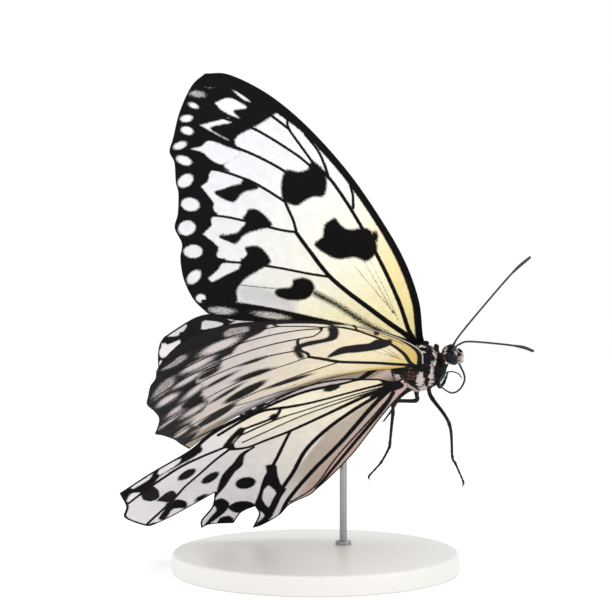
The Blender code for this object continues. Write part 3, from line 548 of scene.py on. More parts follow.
HIND_BLACK = {
    "cell_end": [(29, -13.5), (30.1, -12.7), (32, -12.4), (34.1, -11.4), (35.8, -11.9), (33.7, -13),
        (31.6, -13.8), (29.9, -14.3)],
    "cell_bar": [(29, -13.3), (30.5, -12.3), (33.4, -11), (34.1, -9.5), (35.4, -11), (35.4, -12.2),
        (33.5, -11.6), (30.5, -13.1)],
    "joint": [(33.2, 1.2), (31.4, 2.4), (32.9, 5.6), (34, 9.3), (33.5, 10.1), (36, 11.7), (38.8, 13.9),
        (41.7, 15.8), (45.4, 15.6), (44.6, 14.9), (41.8, 13.9), (41.7, 10.1), (38.1, 7), (34.8, 4)],
    "m1_out": [(57.4, -9.5), (56.6, -11.4), (55.4, -13.4), (53.2, -13), (53.2, -9.9), (55.1, -6.9),
        (56.9, -7.4)],
    "m1_low": [(56.2, -6.4), (53.2, -7.3), (51.6, -6.9), (52.3, -4.2), (54.6, -3.2), (55.6, -4.8)],
    "m2_out": [(57.3, -1.9), (55.4, -3.6), (53.2, -3), (52.2, -0.6), (53.4, 0.6), (55.6, -0.8),
        (58.5, 0.5), (59.8, -0.4)],
    "m3_streak": [(32.5, -6.6), (34.9, -4.6), (36.8, -2.1), (39.3, -1.4), (43.4, 0.9), (46, 1.6),
        (42, -2.4), (37.8, -4.5), (34.8, -6.4)],
    "m3_out": [(48.2, 2.8), (45.9, 3.3), (45.5, 5.8), (47.4, 7.3), (50.8, 8), (54.2, 8.2), (50.8, 6.5),
        (48.7, 5.5)],
    "cu_out": [(46.6, 6.4), (44, 6.4), (41.9, 8.2), (41.6, 10.4), (43.9, 10.7), (46.3, 8.8)],
    "m3_far": [(56.2, 4.2), (54.2, 3.2), (52.4, 3.8), (52.6, 5.6), (54.4, 6.6)],
    "cu_far": [(51.4, 9.2), (49.4, 8.2), (47.6, 9.2), (47.8, 11), (49.6, 11.6)]}
FRONT_BORDER = {
    "left": [(35, -15.2), (41, -13.2), (46, -12.7), (52, -11.6), (57, -11.4), (63, -11.4), (64, -20),
        (35, -20)],
    "right": [(38.9, -14.9), (40.6, -13.6), (45.1, -13.5), (50.4, -13.4), (54.6, -11.6), (57.7, -13.2),
        (61, -12), (61, -18), (38, -19)]}
FRONT_WINDOWS = {
    "left": [
        [(60.2, -12.9), (58, -13.9), (51.6, -15.8), (53, -14.2), (56.8, -12.6)],
        [(48.6, -13.4), (46.4, -15.6), (44, -15.3), (41.4, -14), (45.2, -13.1)],
        [(38.8, -15.9), (36, -15.2), (38.2, -14.5), (40.2, -15)],
        [(62.6, -11.2), (57.8, -10.7), (59.1, -9.4), (61.3, -8.9), (64, -7.8), (64.6, -8.6)]],
    "right": [
        [(44, -14.9), (45.2, -14.1), (50.1, -13.9), (49.3, -15.1), (46.3, -15.4)],
        [(50.6, -15.4), (52.4, -14.3), (56.6, -14.2), (57, -15.1), (54, -15.5)]]}
HIND_HOLE = [(36, 6.7), (36, 9.6), (37.8, 11.4), (39.7, 12.3), (39.4, 9.6), (37.7, 7.3)]
HIND_SPOTS = [(46.1, -9.7, 2.4, 1.4, 13), (44, -3.8, 2.4, 1.4, 14), (39.4, 2.9, 2.2, 1.8, -27),
    (40.2, -14.6, 1.3, 1, 0), (22.9, -12.2, 1.1, 0.9, 0), (49.1, 0.2, 1.6, 0.6, 0)]
SHOULDER_SPOT = (9.6, -11.2, 1.8, 1.2, -25)
ROOT_KNOT = [(1.9, -5.2), (0.6, -4.9), (-0.4, -2.8), (-1.4, -0.7), (-1.2, 0.9), (1.2, 0.6), (6, -1),
    (4, -1.9), (2, -2.4)]
MARGIN_BAND, WORN_RIM = 2.7, 0.55      # width of the dark outer edge, whole and worn, mm
MOON_SPACING, MOON_SIZE, MOON_DEPTH = 3.3, (1.25, 0.8), 1.15   # step, half axes, distance from the edge
MOON_LIMIT = -10.5             # no half moons forward of this v, where the front windows are


# %% Hindwing ink
def hind_ink(points, side, edge, front):
    """Blots, front border and a dark edge with a row of pale half moons cut out of it, plus the veins."""
    black = np.maximum(deepest(points, HIND_BLACK.values()) / 0.22, deepest(points, HIND_SPOTS) / 0.25)
    black = np.minimum(black, -patch(points, HIND_HOLE) / 0.22)
    windows = deepest(points, FRONT_WINDOWS[side]) / 0.22
    border = np.minimum(patch(points, FRONT_BORDER[side]) / 0.25, -windows)
    from_margin, run = near_line(points, smooth(WHOLE_MARGIN[side], 0.5))
    if side == "right":
        band = (WORN_RIM - from_margin) / 0.15
    else:
        wave = 0.5 + 0.5 * np.cos(2 * np.pi * run / MOON_SPACING)
        band = (MARGIN_BAND * ramp(points[:, 0], 30, 44) * (0.75 + 0.25 * wave) - from_margin) / 0.25
        sideways = ((run / MOON_SPACING) % 1.0 - 0.5) * MOON_SPACING
        inward = from_margin - MOON_DEPTH
        moon = (1 - np.hypot(sideways / MOON_SIZE[0], inward / MOON_SIZE[1])) * MOON_SIZE[1]
        moon = np.where(points[:, 1] < MOON_LIMIT, NO_INK, moon / 0.2)
        band = np.minimum(band, -np.maximum(moon, windows))
    shoulder = np.minimum(oval(points, *SHOULDER_SPOT) / 0.3, 1.1)
    knot = patch(points, ROOT_KNOT) / 0.2
    veins, nearest = vein_ink(points, HIND_LINES)
    ink = np.maximum.reduce([black, border, band, shoulder, knot, veins, (0.36 - edge) / CRISP])
    return ink, ink, nearest


# %% [markdown]
# ## The pale ground
# Under the ink the wing is not one white. Near the body it is warm, a strong yellow in the cell and a
# golden one along the front edge, and it cools through cream to a white with a touch of lilac at the
# tip. The under side is a little yellower, and it is also painted darker and greyer, as shade. Where
# the hindwing lies against the body it is a bare, pinkish grey, and the grey between two veins next to
# it is painted shade, the dark abdomen seen through the thin wing. A pale line along the front edge of
# the forewing's under side, near the root, is a painted highlight. One colour is laid over the last by
# a share that changes smoothly across the plan.

# %% Pale ground colours
def colours(*codes):
    """Linear red, green and blue of several hex colours."""
    return [np.array(colour(code)[:3]) for code in codes]


# yellow, amber, cream, paper and lilac, on the forewing's upper and under side; the under side's set is
# yellower, and it is also darker and greyer, which is painted shade
UPPER_GROUND = colours("#FBF1C0", "#EFDD9C", "#FBF7E6", "#EFEEEA", "#E3E3E7")
UNDER_GROUND_SHADED = colours("#E3C986", "#CFB163", "#EDE0C0", "#DCD1C0", "#C6BDBC")
HIND_CREAM, HIND_PAPER, HIND_LILAC, HIND_BAND = colours("#EFE7D3", "#E6E0D8", "#E2DDE1", "#BFB3B2")
# the second of these is painted shade, the abdomen seen through the hindwing, and the last a painted highlight
# along the front edge of the forewing's under side
ROSE, ABDOMEN_SHADE_GREY, GREYED, FRONT_EDGE_HIGHLIGHT = colours("#C0A69F", "#B3A597", "#C9C6CB", "#B5ABA6")
GREYED_CELL = [(30.1, 25.5), (30.2, 22.8), (25.1, 18), (21.5, 16.4), (19.3, 18.2), (22.1, 20.4), (27, 26.1)]
# v of a line along the wing, for a few u: the radius vein and three edges on the hindwing
RADIUS_LINE = ([0, 8.5, 19, 32, 42, 70], [0, -2.3, -4.9, -6.8, -6, 2])
SHOULDER_EDGE = ([0, 3.8, 6.8, 14.9, 27.4], [-3, -8.4, -10.4, -14.2, -16.2])
ABDOMEN_SHADE_EDGE = ([0, 4.8, 17.5, 29.8, 38], [-0.5, -0.6, 0.7, 6.8, 11.8])
ROSE_EDGE = ([0, 6.6, 16.9, 26.8, 35], [-0.4, 1.6, 6.1, 9.8, 13.4])


def layered(base, *layers):
    """A colour under (colour, share) layers: each in turn adds its share of (colour - what is below)."""
    for over, share in layers:
        base = base + (over - base) * share[:, None]
    return base


def fore_ground(points, front, under_side):
    """Yellow at the root through cream to lilac white along u, amber before the radius vein."""
    u, v = points.T
    # the under side's colours are yellower and also darker, the darkness being painted shade
    yellow, amber, cream, paper, lilac = UNDER_GROUND_SHADED if under_side else UPPER_GROUND
    before_radius = 1 - ramp(v - np.interp(u, *RADIUS_LINE), -0.6, 0.4)
    ground = layered(yellow, (cream, ramp(u, 4, 15) if under_side else ramp(u, 6, 24)),
                     (paper, ramp(u + 0.35 * v, 20, 38)), (lilac, ramp(u + 0.3 * v, 34, 52)),
                     (amber, before_radius * (1 - ramp(u, 14, 34)) * 0.8),
                     (GREYED, ramp(patch(points, GREYED_CELL), -1.5, 1.5) * 0.8))
    if not under_side:
        return ground
    from_rear = np.abs(line_distance(points, smooth(NEAR_REAR, 1)) - 0.7)
    return layered(ground, (amber, (1 - ramp(from_rear, 0.2, 0.7)) * (1 - ramp(u, 14, 22)) * 0.9),
                   # painted highlight: a pale pinkish line along the very front edge of the under side, near
                   # the root
                   (FRONT_EDGE_HIGHLIGHT, ramp(-front, -0.5, -0.3) * (1 - ramp(u, 24, 36))))


def hind_ground(points, front, under_side):
    """Cream in the cell, lilac white outside it, rose along the body, and behind the cell a grey that is
    painted shade of the abdomen seen through the wing; both sides alike.
    """
    u, v = points.T
    return layered(HIND_CREAM, (UNDER_GROUND_SHADED[0], (1 - ramp(u, 4, 16)) * 0.25),
                   (HIND_PAPER, ramp(u + 0.8 * v, 12, 28)), (HIND_LILAC, ramp(u, 26, 42)),
                   (HIND_BAND, ramp(np.interp(u, *SHOULDER_EDGE) - v, 0, 0.5) * (1 - ramp(u, 20, 30))),
                   # painted shade: the dark abdomen behind the thin wing, drawn as grey between two veins
                   (ABDOMEN_SHADE_GREY, ramp(v - np.interp(u, *ABDOMEN_SHADE_EDGE), -0.2, 0.8) * (1 - ramp(u, 26, 37)) * 0.85),
                   (ROSE, ramp(v - np.interp(u, *ROSE_EDGE), 0, 1.6) * (1 - ramp(u, 26, 40))))


# %% [markdown]
# ## Wing sheets
# The pattern lives in numbers on the points, so the points have to be even: a grid squeezed towards
# the root would draw the tip coarsely. So an even lattice is laid inside the outline and joined to
# it by a triangulation, bent by the place function, and doubled into an upper and an under skin. The
# real membrane is far thinner than paper, and it stays a little thicker here so that it prints. Each
# vein stands out on both skins, and the membrane sags a little between two of them.

# %% Make a wing sheet
SHEET_STEP = 0.25              # spacing of the lattice, about a pixel of the final picture
HALF_MEMBRANE, HALF_VEIN, HALF_EDGE = 0.09, 0.20, 0.06
VEIN_WIDTH, PLEAT, PLEAT_WIDTH = 0.26, 0.22, 1.6       # a pleat is how far the membrane sags
INK_LIMIT = 4                  # ink beyond this is as black or as white as it gets


def edge_distance(points, outline):
    """Each point's distance from a closed outline."""
    return line_distance(points, np.concatenate([outline, outline[:1]]))


def lattice(outline):
    """Rows sqrt(3)/2 steps apart, every other one moved by half a step, kept inside the outline."""
    low, high = outline.min(axis=0), outline.max(axis=0)
    rows = np.arange(low[1], high[1], SHEET_STEP * 0.866)
    columns = np.arange(low[0], high[0], SHEET_STEP)
    u = columns[None, :] + np.where(np.arange(len(rows)) % 2, 0.5, 0.0)[:, None] * SHEET_STEP
    points = np.stack([u, np.broadcast_to(rows[:, None], u.shape)], -1).reshape(-1, 2)
    points = points[inside(points, outline)]
    return points[edge_distance(points, outline) > SHEET_STEP * 0.55]


def sheet_plan(strokes):
    """Plan points with the outline first, the triangles between them and the outline's length."""
    outline = closed_outline(strokes, 0.4)
    count = len(outline)
    rim = [(i, (i + 1) % count) for i in range(count)]
    found = delaunay_2d_cdt(np.concatenate([outline, lattice(outline)]).tolist(), rim, [], 1, 1e-6)
    return np.array(found[0]), np.array(found[2]), count


def unit(vectors):
    """Vectors divided by their own length."""
    return vectors / np.linalg.norm(vectors, axis=-1, keepdims=True)


def normals_of(place, side, points):
    """Unit normals of a placed sheet: the cross product of its two derivatives."""
    (u, v), step = points.T, 0.05
    along = place(side, u + step, v) - place(side, u - step, v)
    return unit(np.cross(along, place(side, u, v + step) - place(side, u, v - step)))


def wing_sheet(side, place, strokes, ink_of, ground_of):
    """Two skins a thickness apart on the bent plan, joined round the rim, with ink and ground on them."""
    points, triangles, count = sheet_plan(strokes)
    rim = points[:count]
    edge = edge_distance(points, rim)
    front = line_distance(points, smooth(strokes[0], 0.8))
    upper_ink, under_ink, nearest = ink_of(points, side, edge, front)
    normal = normals_of(place, side, points)
    sag = PLEAT * (1 - np.exp(-(np.minimum(nearest, edge) / PLEAT_WIDTH) ** 2))
    half = HALF_MEMBRANE + (HALF_VEIN - HALF_MEMBRANE) * np.exp(-(nearest / VEIN_WIDTH) ** 2)
    half = HALF_EDGE + (half - HALF_EDGE) * ramp(edge, 0, 0.5)
    middle = place(side, *points.T) - normal * sag[:, None] * 0.5
    skins = np.concatenate([middle + normal * half[:, None], middle - normal * half[:, None]])
    a, b, c = (points[triangles[:, k]] for k in range(3))
    triangles = np.where((np.cross(b - a, c - a) > 0)[:, None], triangles, triangles[:, ::-1])
    ring = np.arange(count)
    after = np.roll(ring, -1)
    rim_faces = np.stack([ring, after, after + len(points), ring + len(points)], 1)
    if np.sum(rim[:, 0] * rim[after, 1] - rim[after, 0] * rim[:, 1]) > 0:
        rim_faces = rim_faces[:, ::-1]
    # the first skin is the upper one on the left wings and the under one on the right wings
    values = {"ink": [], "ground": []}
    for under_side in (side == "right", side == "left"):
        values["ink"].append(np.clip(under_ink if under_side else upper_ink, -INK_LIMIT, INK_LIMIT))
        values["ground"].append(np.c_[ground_of(points, front, under_side), np.ones(len(points))])
    faces = [triangles, triangles[:, ::-1] + len(points), rim_faces]
    return (skins, faces), {key: np.concatenate(rows) for key, rows in values.items()}


# %% [markdown]
# The finish of a wing is dry scales on chitin: matt, a little silky, with edges that are never quite
# sharp because each scale is one colour. A scale is 0.1 mm, too fine to see here, so the grain is
# drawn at 0.25 mm: a noise moves every edge of the ink by a fraction of its softness. The ground gets
# a faint streak from the same noise and the black scales a brownish bloom.

# %% Wing scales
def ragged_mask(tree, key, grain, reach, softness):
    """Smooth step, from minus to plus the softness, of an attribute + a noise from minus to plus the reach."""
    drawn = add_node(tree, "Attribute", {"attribute_name": key})
    moved = add_node(tree, "Math", {"operation": "MULTIPLY_ADD", 1: 2 * reach, 2: -reach}, {0: (grain, "Fac")})
    level = add_node(tree, "Math", {"operation": "ADD"}, {0: (drawn, "Fac"), 1: (moved, "Value")})
    return add_node(tree, "MapRange", {"interpolation_type": "SMOOTHSTEP", "From Min": -softness,
                                       "From Max": softness}, {"Value": (level, "Value")})


def scaled_wing(name, black, bloom):
    """Ink over ground: mask = smooth step of ink + noise, black and bloom mixed by a second noise."""
    finish, tree, shader = new_finish(name, {"Roughness": 0.6, "IOR": 1.50, "Specular IOR Level": 0.07})
    place = add_node(tree, "TexCoord")
    ground = add_node(tree, "Attribute", {"attribute_name": "ground"})
    grain, streak = (add_node(tree, "TexNoise", {"Scale": 1 / (size * MM), "Detail": detail},
                              {"Vector": (place, "Object")}) for size, detail in ((0.25, 2), (1.6, 3)))
    shade = add_node(tree, "MapRange", {"From Min": 0.3, "From Max": 0.7, "To Min": 0.93, "To Max": 1.03},
                     {"Value": (streak, "Fac")})
    pale = add_node(tree, "Mix", {"data_type": "RGBA", "blend_type": "MULTIPLY", 0: 1.0},
                    {6: (ground, "Color"), 7: (shade, "Result")})
    dark = add_node(tree, "Mix", {"data_type": "RGBA", 6: colour(black), 7: colour(bloom)},
                    {0: (grain, "Fac")})
    mask = ragged_mask(tree, "ink", grain, 1.2, 0.9)
    mixed = add_node(tree, "Mix", {"data_type": "RGBA"}, {0: (mask, "Result"), 6: (pale, 2), 7: (dark, 2)})
    bump = add_node(tree, "Bump", {"Strength": 0.25, "Distance": 0.04 * MM}, {"Height": (grain, "Fac")})
    connect(tree, shader, {"Base Color": (mixed, 2), "Normal": (bump, "Normal")})
    return finish


WING_SCALES = scaled_wing("butterfly_wing_scales", "#050405", "#120E10")


# %% The four wings
def animal_piece(name, part, finish, nodes=(), values=None):
    """A piece from points in the animal's own frame, posed."""
    return make_piece(name, (posed(part[0]), part[1]), finish, nodes, values)


for side in SIDES:
    for kind, place, outline, ink_of, ground_of in (
            ("forewing", forewing_place, FOREWING_OUTLINE, fore_ink, fore_ground),
            ("hindwing", hindwing_place, HINDWING_OUTLINE, hind_ink, hind_ground)):
        sheet, values = wing_sheet(side, place, outline[side], ink_of, ground_of)
        animal_piece(f"{kind}_{side}_scaled", sheet, WING_SCALES, [f"{kind}_{side}"], values)

# %% [markdown]
# ## Body
# Body parts are closed eggs and tubes. An egg is a sphere of directions stretched to three half
# axes, squared a little for the thorax. A tube is a circle carried along a path, with a radius that
# changes on the way, which gives every leg joint, feeler ring and tail segment.

# %% Eggs and tubes
def closed_rings(points, segments):
    """Rings of points closed by the last two points, with faces outwards by the sign of their volume."""
    number = np.arange(len(points) - 2).reshape(-1, segments)
    right = np.roll(number, -1, axis=1)
    quads = np.stack([number[:-1], right[:-1], right[1:], number[1:]], -1).reshape(-1, 4)
    caps = [np.stack([np.full(segments, len(points) - 2), right[0], number[0]], 1),
            np.stack([np.full(segments, len(points) - 1), number[-1], right[-1]], 1)]
    volume = sum(np.sum(np.cross(points[f[:, 0]], points[f[:, 1]]) * points[f[:, 2]])
                 for f in (quads, quads[:, [0, 2, 3]], *caps))
    return points, [quads, *caps] if volume > 0 else [quads[:, ::-1], *(cap[:, ::-1] for cap in caps)]


def closed_grid(shape, rings, segments):
    """A surface of two parameters s from pole to pole and t round it, with one point at each pole."""
    s, t = np.meshgrid(np.arange(1, rings) / rings, np.arange(segments) / segments, indexing="ij")
    s, t = np.concatenate([s.ravel(), [0, 1]]), np.concatenate([t.ravel(), [0, 0]])
    return closed_rings(shape(s, t), segments)


def egg(middle, size, boxiness=2):
    """Middle + size * direction / (sum of |direction| ** boxiness) ** (1 / boxiness), poles on x."""
    def shape(s, t):
        a, b = np.pi * s, 2 * np.pi * t
        way = np.stack([np.cos(a), np.sin(a) * np.cos(b), np.sin(a) * np.sin(b)], 1)
        norm = np.sum(np.abs(way) ** boxiness, axis=1, keepdims=True) ** (1 / boxiness)
        return np.array(middle) + np.array(size) * way / norm
    return shape


def path_through(knots, step):
    """A smooth path, how far along it each point lies in mm, and the same as a share of its length."""
    path = smooth(knots, step)
    run = np.concatenate([[0], np.cumsum(np.linalg.norm(np.diff(path, axis=0), axis=1))])
    return path, run, run / run[-1]


def tube(path, radii, sides):
    """Path + radius * (cos a * across + sin a * out), closed by the path's own two end points."""
    path, radii = np.asarray(path, float), np.asarray(radii, float)
    forward = unit(np.gradient(path, axis=0))
    flat_axis = np.linalg.svd(path - path.mean(axis=0))[2][2]
    across = unit(np.cross(forward, flat_axis))
    out = np.cross(across, forward)
    angle = 2 * np.pi * np.arange(sides) / sides
    ring = np.cos(angle)[None, :, None] * across[:, None] + np.sin(angle)[None, :, None] * out[:, None]
    points = (path[:, None] + radii[:, None, None] * ring).reshape(-1, 3)
    return closed_rings(np.concatenate([points, path[:1], path[-1:]]), sides)


# %% [markdown]
# ## Thorax and head
# The thorax is black cuticle under short flat scales, with cream-white patches along its side in a
# broken row from the collar down to the legs. The head is black above, tan behind the eye and white
# below it. The patches are drawn as short thick strokes in space: a point of the skin is pale where
# its distance from a stroke is less than the stroke's radius, with a soft edge of hairs.

# %% Body patches
# radius and the points of the stroke, for the right side; the left side mirrors it
PALE_STROKES = [
    (0.6, [(4.7, -0.1, 1.5), (4.6, -0.5, 1.4)]),
    (0.42, [(4.1, -2.2, 1), (3.2, -3, 0.1), (2.7, -3.2, -0.7), (1.7, -3.4, -2.3), (1, -3.3, -3.6)]),
    (0.75, [(0.5, -3.7, 0.1), (-0.2, -3.7, -1), (-0.6, -3.6, -2)]),
    (0.85, [(-0.9, -3.2, -3.7), (-1.5, -2.8, -4.6)]),
    (0.5, [(-3.1, -3.4, -2), (-2.9, -3, -3.6), (-2.7, -2.4, -4.6)]),
    (0.42, [(-3.6, -3.3, -1.2), (-3.7, -3.3, -1.1)]),
    (0.85, [(-4.4, -2.9, 0.7), (-4.7, -2.6, 0.2)]),
    (0.4, [(-5, -1.8, -2.4), (-4.6, -1.6, -3.6)]),
    (0.22, [(2.9, -0.8, 3.2), (1, -0.9, 4.1)]),
    (0.4, [(-3.2, -0.8, 3.4), (-4.4, -0.8, 2.4)])]
HEAD_PALE = [
    (0.8, [(8.3, -1, -1.6), (7.6, -1.6, -2), (6.9, -1.7, -2)]),
    (0.45, [(8.7, -0.7, 0.6), (8.8, -0.6, -0.4)]),
    (0.22, [(6.6, -0.9, 1.2), (6.5, -0.9, 1.2)]),
    (0.3, [(7.3, -0.4, 1.7), (6.8, -0.3, 1.6)])]
HEAD_TAN = [(0.65, [(5.9, -1.4, 0.4), (5.8, -1.6, -0.8), (6.2, -1.6, -1.5)])]
THORAX_BROWN = [(0.9, [(-1.2, -3.6, 0.9), (-2.6, -3.5, 0.4)])]
HEAD_START = 5.4               # forward of this x a point is on the head


def stroke_ink(points, strokes, softness):
    """The most that any stroke gives on either side: (radius - distance) / softness."""
    mirrored = points * (1, 0, 1) - np.abs(points * (0, 1, 0))
    return np.maximum.reduce([(radius - line_distance(mirrored, np.array(line))) / softness
                              for radius, line in strokes])


def body_values(points):
    """Pale and warm numbers for skin and tufts: patches of the thorax and head in the animal's frame."""
    on_head = points[:, 0] > HEAD_START
    pale = np.where(on_head, stroke_ink(points, HEAD_PALE, 0.2), stroke_ink(points, PALE_STROKES, 0.32))
    brown = np.minimum(stroke_ink(points, THORAX_BROWN, 0.6), 0)
    warm = np.where(on_head, stroke_ink(points, HEAD_TAN, 0.25), brown)
    return {"pale": np.clip(pale, -INK_LIMIT, INK_LIMIT), "warm": np.clip(warm, -INK_LIMIT, INK_LIMIT)}


# %% [markdown]
# Scaled cuticle is dark and matt with a dull gloss, and its pale and warm patches are flat hairs that
# end in a ragged edge. A noise at 0.6 mm, coarser than the real hairs so that it shows, breaks the
# edges and raises the skin.

# %% Scaled cuticle
def scaled_cuticle(name, dark, pale, warm):
    """Dark cuticle with pale and warm hairs where the attributes say so, their edges broken by noise."""
    finish, tree, shader = new_finish(name, {"Roughness": 0.55, "IOR": 1.54, "Specular IOR Level": 0.12})
    place = add_node(tree, "TexCoord")
    grain = add_node(tree, "TexNoise", {"Scale": 1 / (0.6 * MM), "Detail": 5},
                     {"Vector": (place, "Object")})
    pale_mask, warm_mask = (ragged_mask(tree, key, grain, 3.5, 0.5) for key in ("pale", "warm"))
    base = add_node(tree, "Mix", {"data_type": "RGBA", 6: colour(dark), 7: colour(pale)},
                    {0: (pale_mask, "Result")})
    mixed = add_node(tree, "Mix", {"data_type": "RGBA", 7: colour(warm)},
                     {0: (warm_mask, "Result"), 6: (base, 2)})
    bump = add_node(tree, "Bump", {"Strength": 0.5, "Distance": 0.08 * MM}, {"Height": (grain, "Fac")})
    connect(tree, shader, {"Base Color": (mixed, 2), "Normal": (bump, "Normal")})
    return finish


BODY_SCALES = scaled_cuticle("scaled_body_cuticle", "#0A090B", "#C9BDB9", "#533B36")

# %% Thorax and head
THORAX_MIDDLE, THORAX_SIZE, THORAX_BOXINESS = (-0.75, 0, -0.9), (5.55, 3.7, 5.1), 2.4
THORAX_SEAMS, SEAM_DEPTH, SEAM_WIDTH, SEAM_LEAN = (3.3, 0.9, -3), 0.2, 0.22, 0.18
HEAD_MIDDLE, HEAD_SIZE = (7, 0, -0.45), (1.6, 1.65, 1.95)
NECK_PATH = [(3.6, 0, -0.4), (4.6, 0, -0.45), (5.4, 0, -0.5), (6.2, 0, -0.55), (7, 0, -0.6)]
# two small lobes on the collar and one scale-covered shoulder flap over each forewing's hinge
LOBES = [((5.3, 0.4, 2.45), (0.48, 0.42, 0.7)), ((2, 3, 2), (1.2, 0.5, 0.7))]


def thorax_shape(s, t):
    """The squared egg, pressed in by up to the seam depth along three seams between its rings."""
    points = egg(THORAX_MIDDLE, THORAX_SIZE, THORAX_BOXINESS)(s, t)
    x, _, z = points.T
    seams = sum(np.exp(-((x - at - SEAM_LEAN * z) / SEAM_WIDTH) ** 2) for at in THORAX_SEAMS)
    return points - unit(points - np.array(THORAX_MIDDLE)) * SEAM_DEPTH * seams[:, None]


lobes = [closed_grid(egg((x, hand * y, z), size), 14, 20) for (x, y, z), size in LOBES for hand in (1, -1)]
thorax = join(closed_grid(thorax_shape, 60, 84), *lobes)
head = join(closed_grid(egg(HEAD_MIDDLE, HEAD_SIZE), 40, 56), tube(NECK_PATH, [0.9, 1, 1, 1, 0.9], 24))
for name, part in (("thorax", thorax), ("head", head)):
    animal_piece(f"{name}_skin", part, BODY_SCALES, [name], body_values(part[0]))

# %% [markdown]
# ## Eyes
# The eye is a dark dome of thousands of lenses, packed like honeycomb. A smooth egg gives the dome. A
# bump of small round cells gives the lenses, and breaks its highlight into a soft glint. Several
# finishes here are made the same way, two near tones and a low bump from one pattern, so one function
# makes them all.

# %% Faceted eyes
def two_toned(name, sockets, pattern, tones, bump):
    """Two near tones mixed by a pattern on the model's own coordinates, with the same pattern as bump."""
    finish, tree, shader = new_finish(name, sockets)
    kind, settings, output = pattern
    place = add_node(tree, "TexCoord")
    drawn = add_node(tree, kind, settings, {"Vector": (place, "Object")})
    tone = add_node(tree, "Mix", {"data_type": "RGBA", 6: tones[0], 7: tones[1]}, {0: (drawn, output)})
    raised = add_node(tree, "Bump", bump, {"Height": (drawn, output)})
    connect(tree, shader, {"Base Color": (tone, 2), "Normal": (raised, "Normal")})
    return finish


# wet-looking gloss over near black; a real lens is 0.03 mm wide, drawn here at 0.15 mm so that it shows
EYE_LENSES = two_toned("compound_eye_lenses", {"Roughness": 0.2, "IOR": 1.52, "Specular IOR Level": 0.16},
                       ("TexVoronoi", {"Scale": 1 / (0.15 * MM), "Randomness": 0.35}, "Distance"),
                       (colour("#11131F"), colour("#050509")),
                       {"invert": True, "Strength": 0.4, "Distance": 0.03 * MM})
# middle and half axes; the head is tilted a little, so the far eye sits lower
EYES = {"left": ((7.3, 1.35, -0.6), (1, 0.85, 1.45)), "right": ((7.4, -1.5, -0.35), (1.1, 0.95, 1.7))}
for side, dome in EYES.items():
    animal_piece(f"eye_{side}_faceted", closed_grid(egg(*dome), 30, 44), EYE_LENSES, [f"eye_{side}"])

# %% [markdown]
# ## Limbs
# Feelers, feeding tube, palps and legs are all tubes on smooth paths, and what tells them apart is how
# the radius changes with the way along. A feeler is a chain of short rings that ends in a club. A leg
# is thick at the hip, thin at the foot, and swells a little at each joint. Horn has a low sheen and a
# fine mottle. The legs' horn is dark brown and the feelers' a dark slate.

# %% Limb finishes
SLATE_HORN, LEG_HORN = (
    two_toned(name, {"Roughness": 0.45, "IOR": 1.55, "Specular IOR Level": 0.16},
              ("TexNoise", {"Scale": 1 / (0.5 * MM), "Detail": 4}, "Fac"),
              (colour(dark), colour(light)), {"Strength": 0.4, "Distance": 0.05 * MM})
    for name, dark, light in (("dark_slate_horn", "#1A1A21", "#42434E"),
                              ("dark_brown_horn", "#0A0708", "#241719")))

# %% Feelers and feeding tube
ANTENNA_PATH = {
    "left": [(7.3, 0.7, 0.2), (8.7, 0.8, 1.3), (9.7, 1.5, 1.8), (13, 4, 2.6), (21, 9, 4.7), (24.6, 11.6, 5.2),
             (27.7, 13.6, 5.2)],
    "right": [(7.3, -0.7, 0.2), (9.1, -0.8, 1.6), (10.6, -1.3, 2.5), (13.4, -3, 3.8), (20.8, -8.3, 5.3),
              (25.9, -12.2, 6.2), (28.2, -14.2, 6.1)]}
PROBOSCIS_PATH = [
    (7.1, 0, -1.6), (7.3, 0, -3.2), (7.2, -0.1, -4.4), (6.9, -0.4, -6.6), (6.1, -0.8, -8.1),
    (4.4, -1.4, -9.2), (3, -2, -8.8), (2.4, -2.6, -6.7), (2.5, -3.1, -4.5), (3.7, -3.35, -2.7),
    (5.2, -3.3, -1.8), (6.4, -3, -2.3), (7, -2.4, -4), (6.8, -2, -5.6)]
FEELER_RADIUS, FEELER_RING = 0.19, 0.7         # mm, so that a feeler has about 40 rings
PROBOSCIS_RADIUS, PROBOSCIS_THINNING, PROBOSCIS_RING = 0.24, 0.11, 0.5


def feeler(knots):
    """Its radius, plus a saw tooth for each ring, a swollen first joint and half a sine wave for the club."""
    path, run, part = path_through(knots, 0.14)
    tooth = 0.035 * (run / FEELER_RING % 1.0) ** 2
    club = 0.11 * np.sin(np.pi * np.clip((part - 0.80) / 0.23, 0, 1)) ** 0.8
    scape = 0.12 * np.exp(-((run - 1.3) / 0.5) ** 2)
    return tube(path, FEELER_RADIUS + tooth + club + scape, 12)


for side in SIDES:
    animal_piece(f"antenna_{side}_ringed", feeler(ANTENNA_PATH[side]), SLATE_HORN,
                 [f"antenna_{side}"])

path, run, part = path_through(PROBOSCIS_PATH, 0.16)
radii = PROBOSCIS_RADIUS - PROBOSCIS_THINNING * part + 0.012 * np.sin(2 * np.pi * run / PROBOSCIS_RING)
animal_piece("proboscis_ringed", tube(path, radii, 14), SLATE_HORN, ["proboscis"])

# %% [markdown]
# Hairs and bristles are solid slivers, never flat cards, so that they read from every side and print:
# a three-sided root, a thinner middle and a tip, seven points each. The same function sets bristles
# on the legs, the palps' brushes and the short coat on the body.

# %% Slivers
SLIVER_POINTS = 7


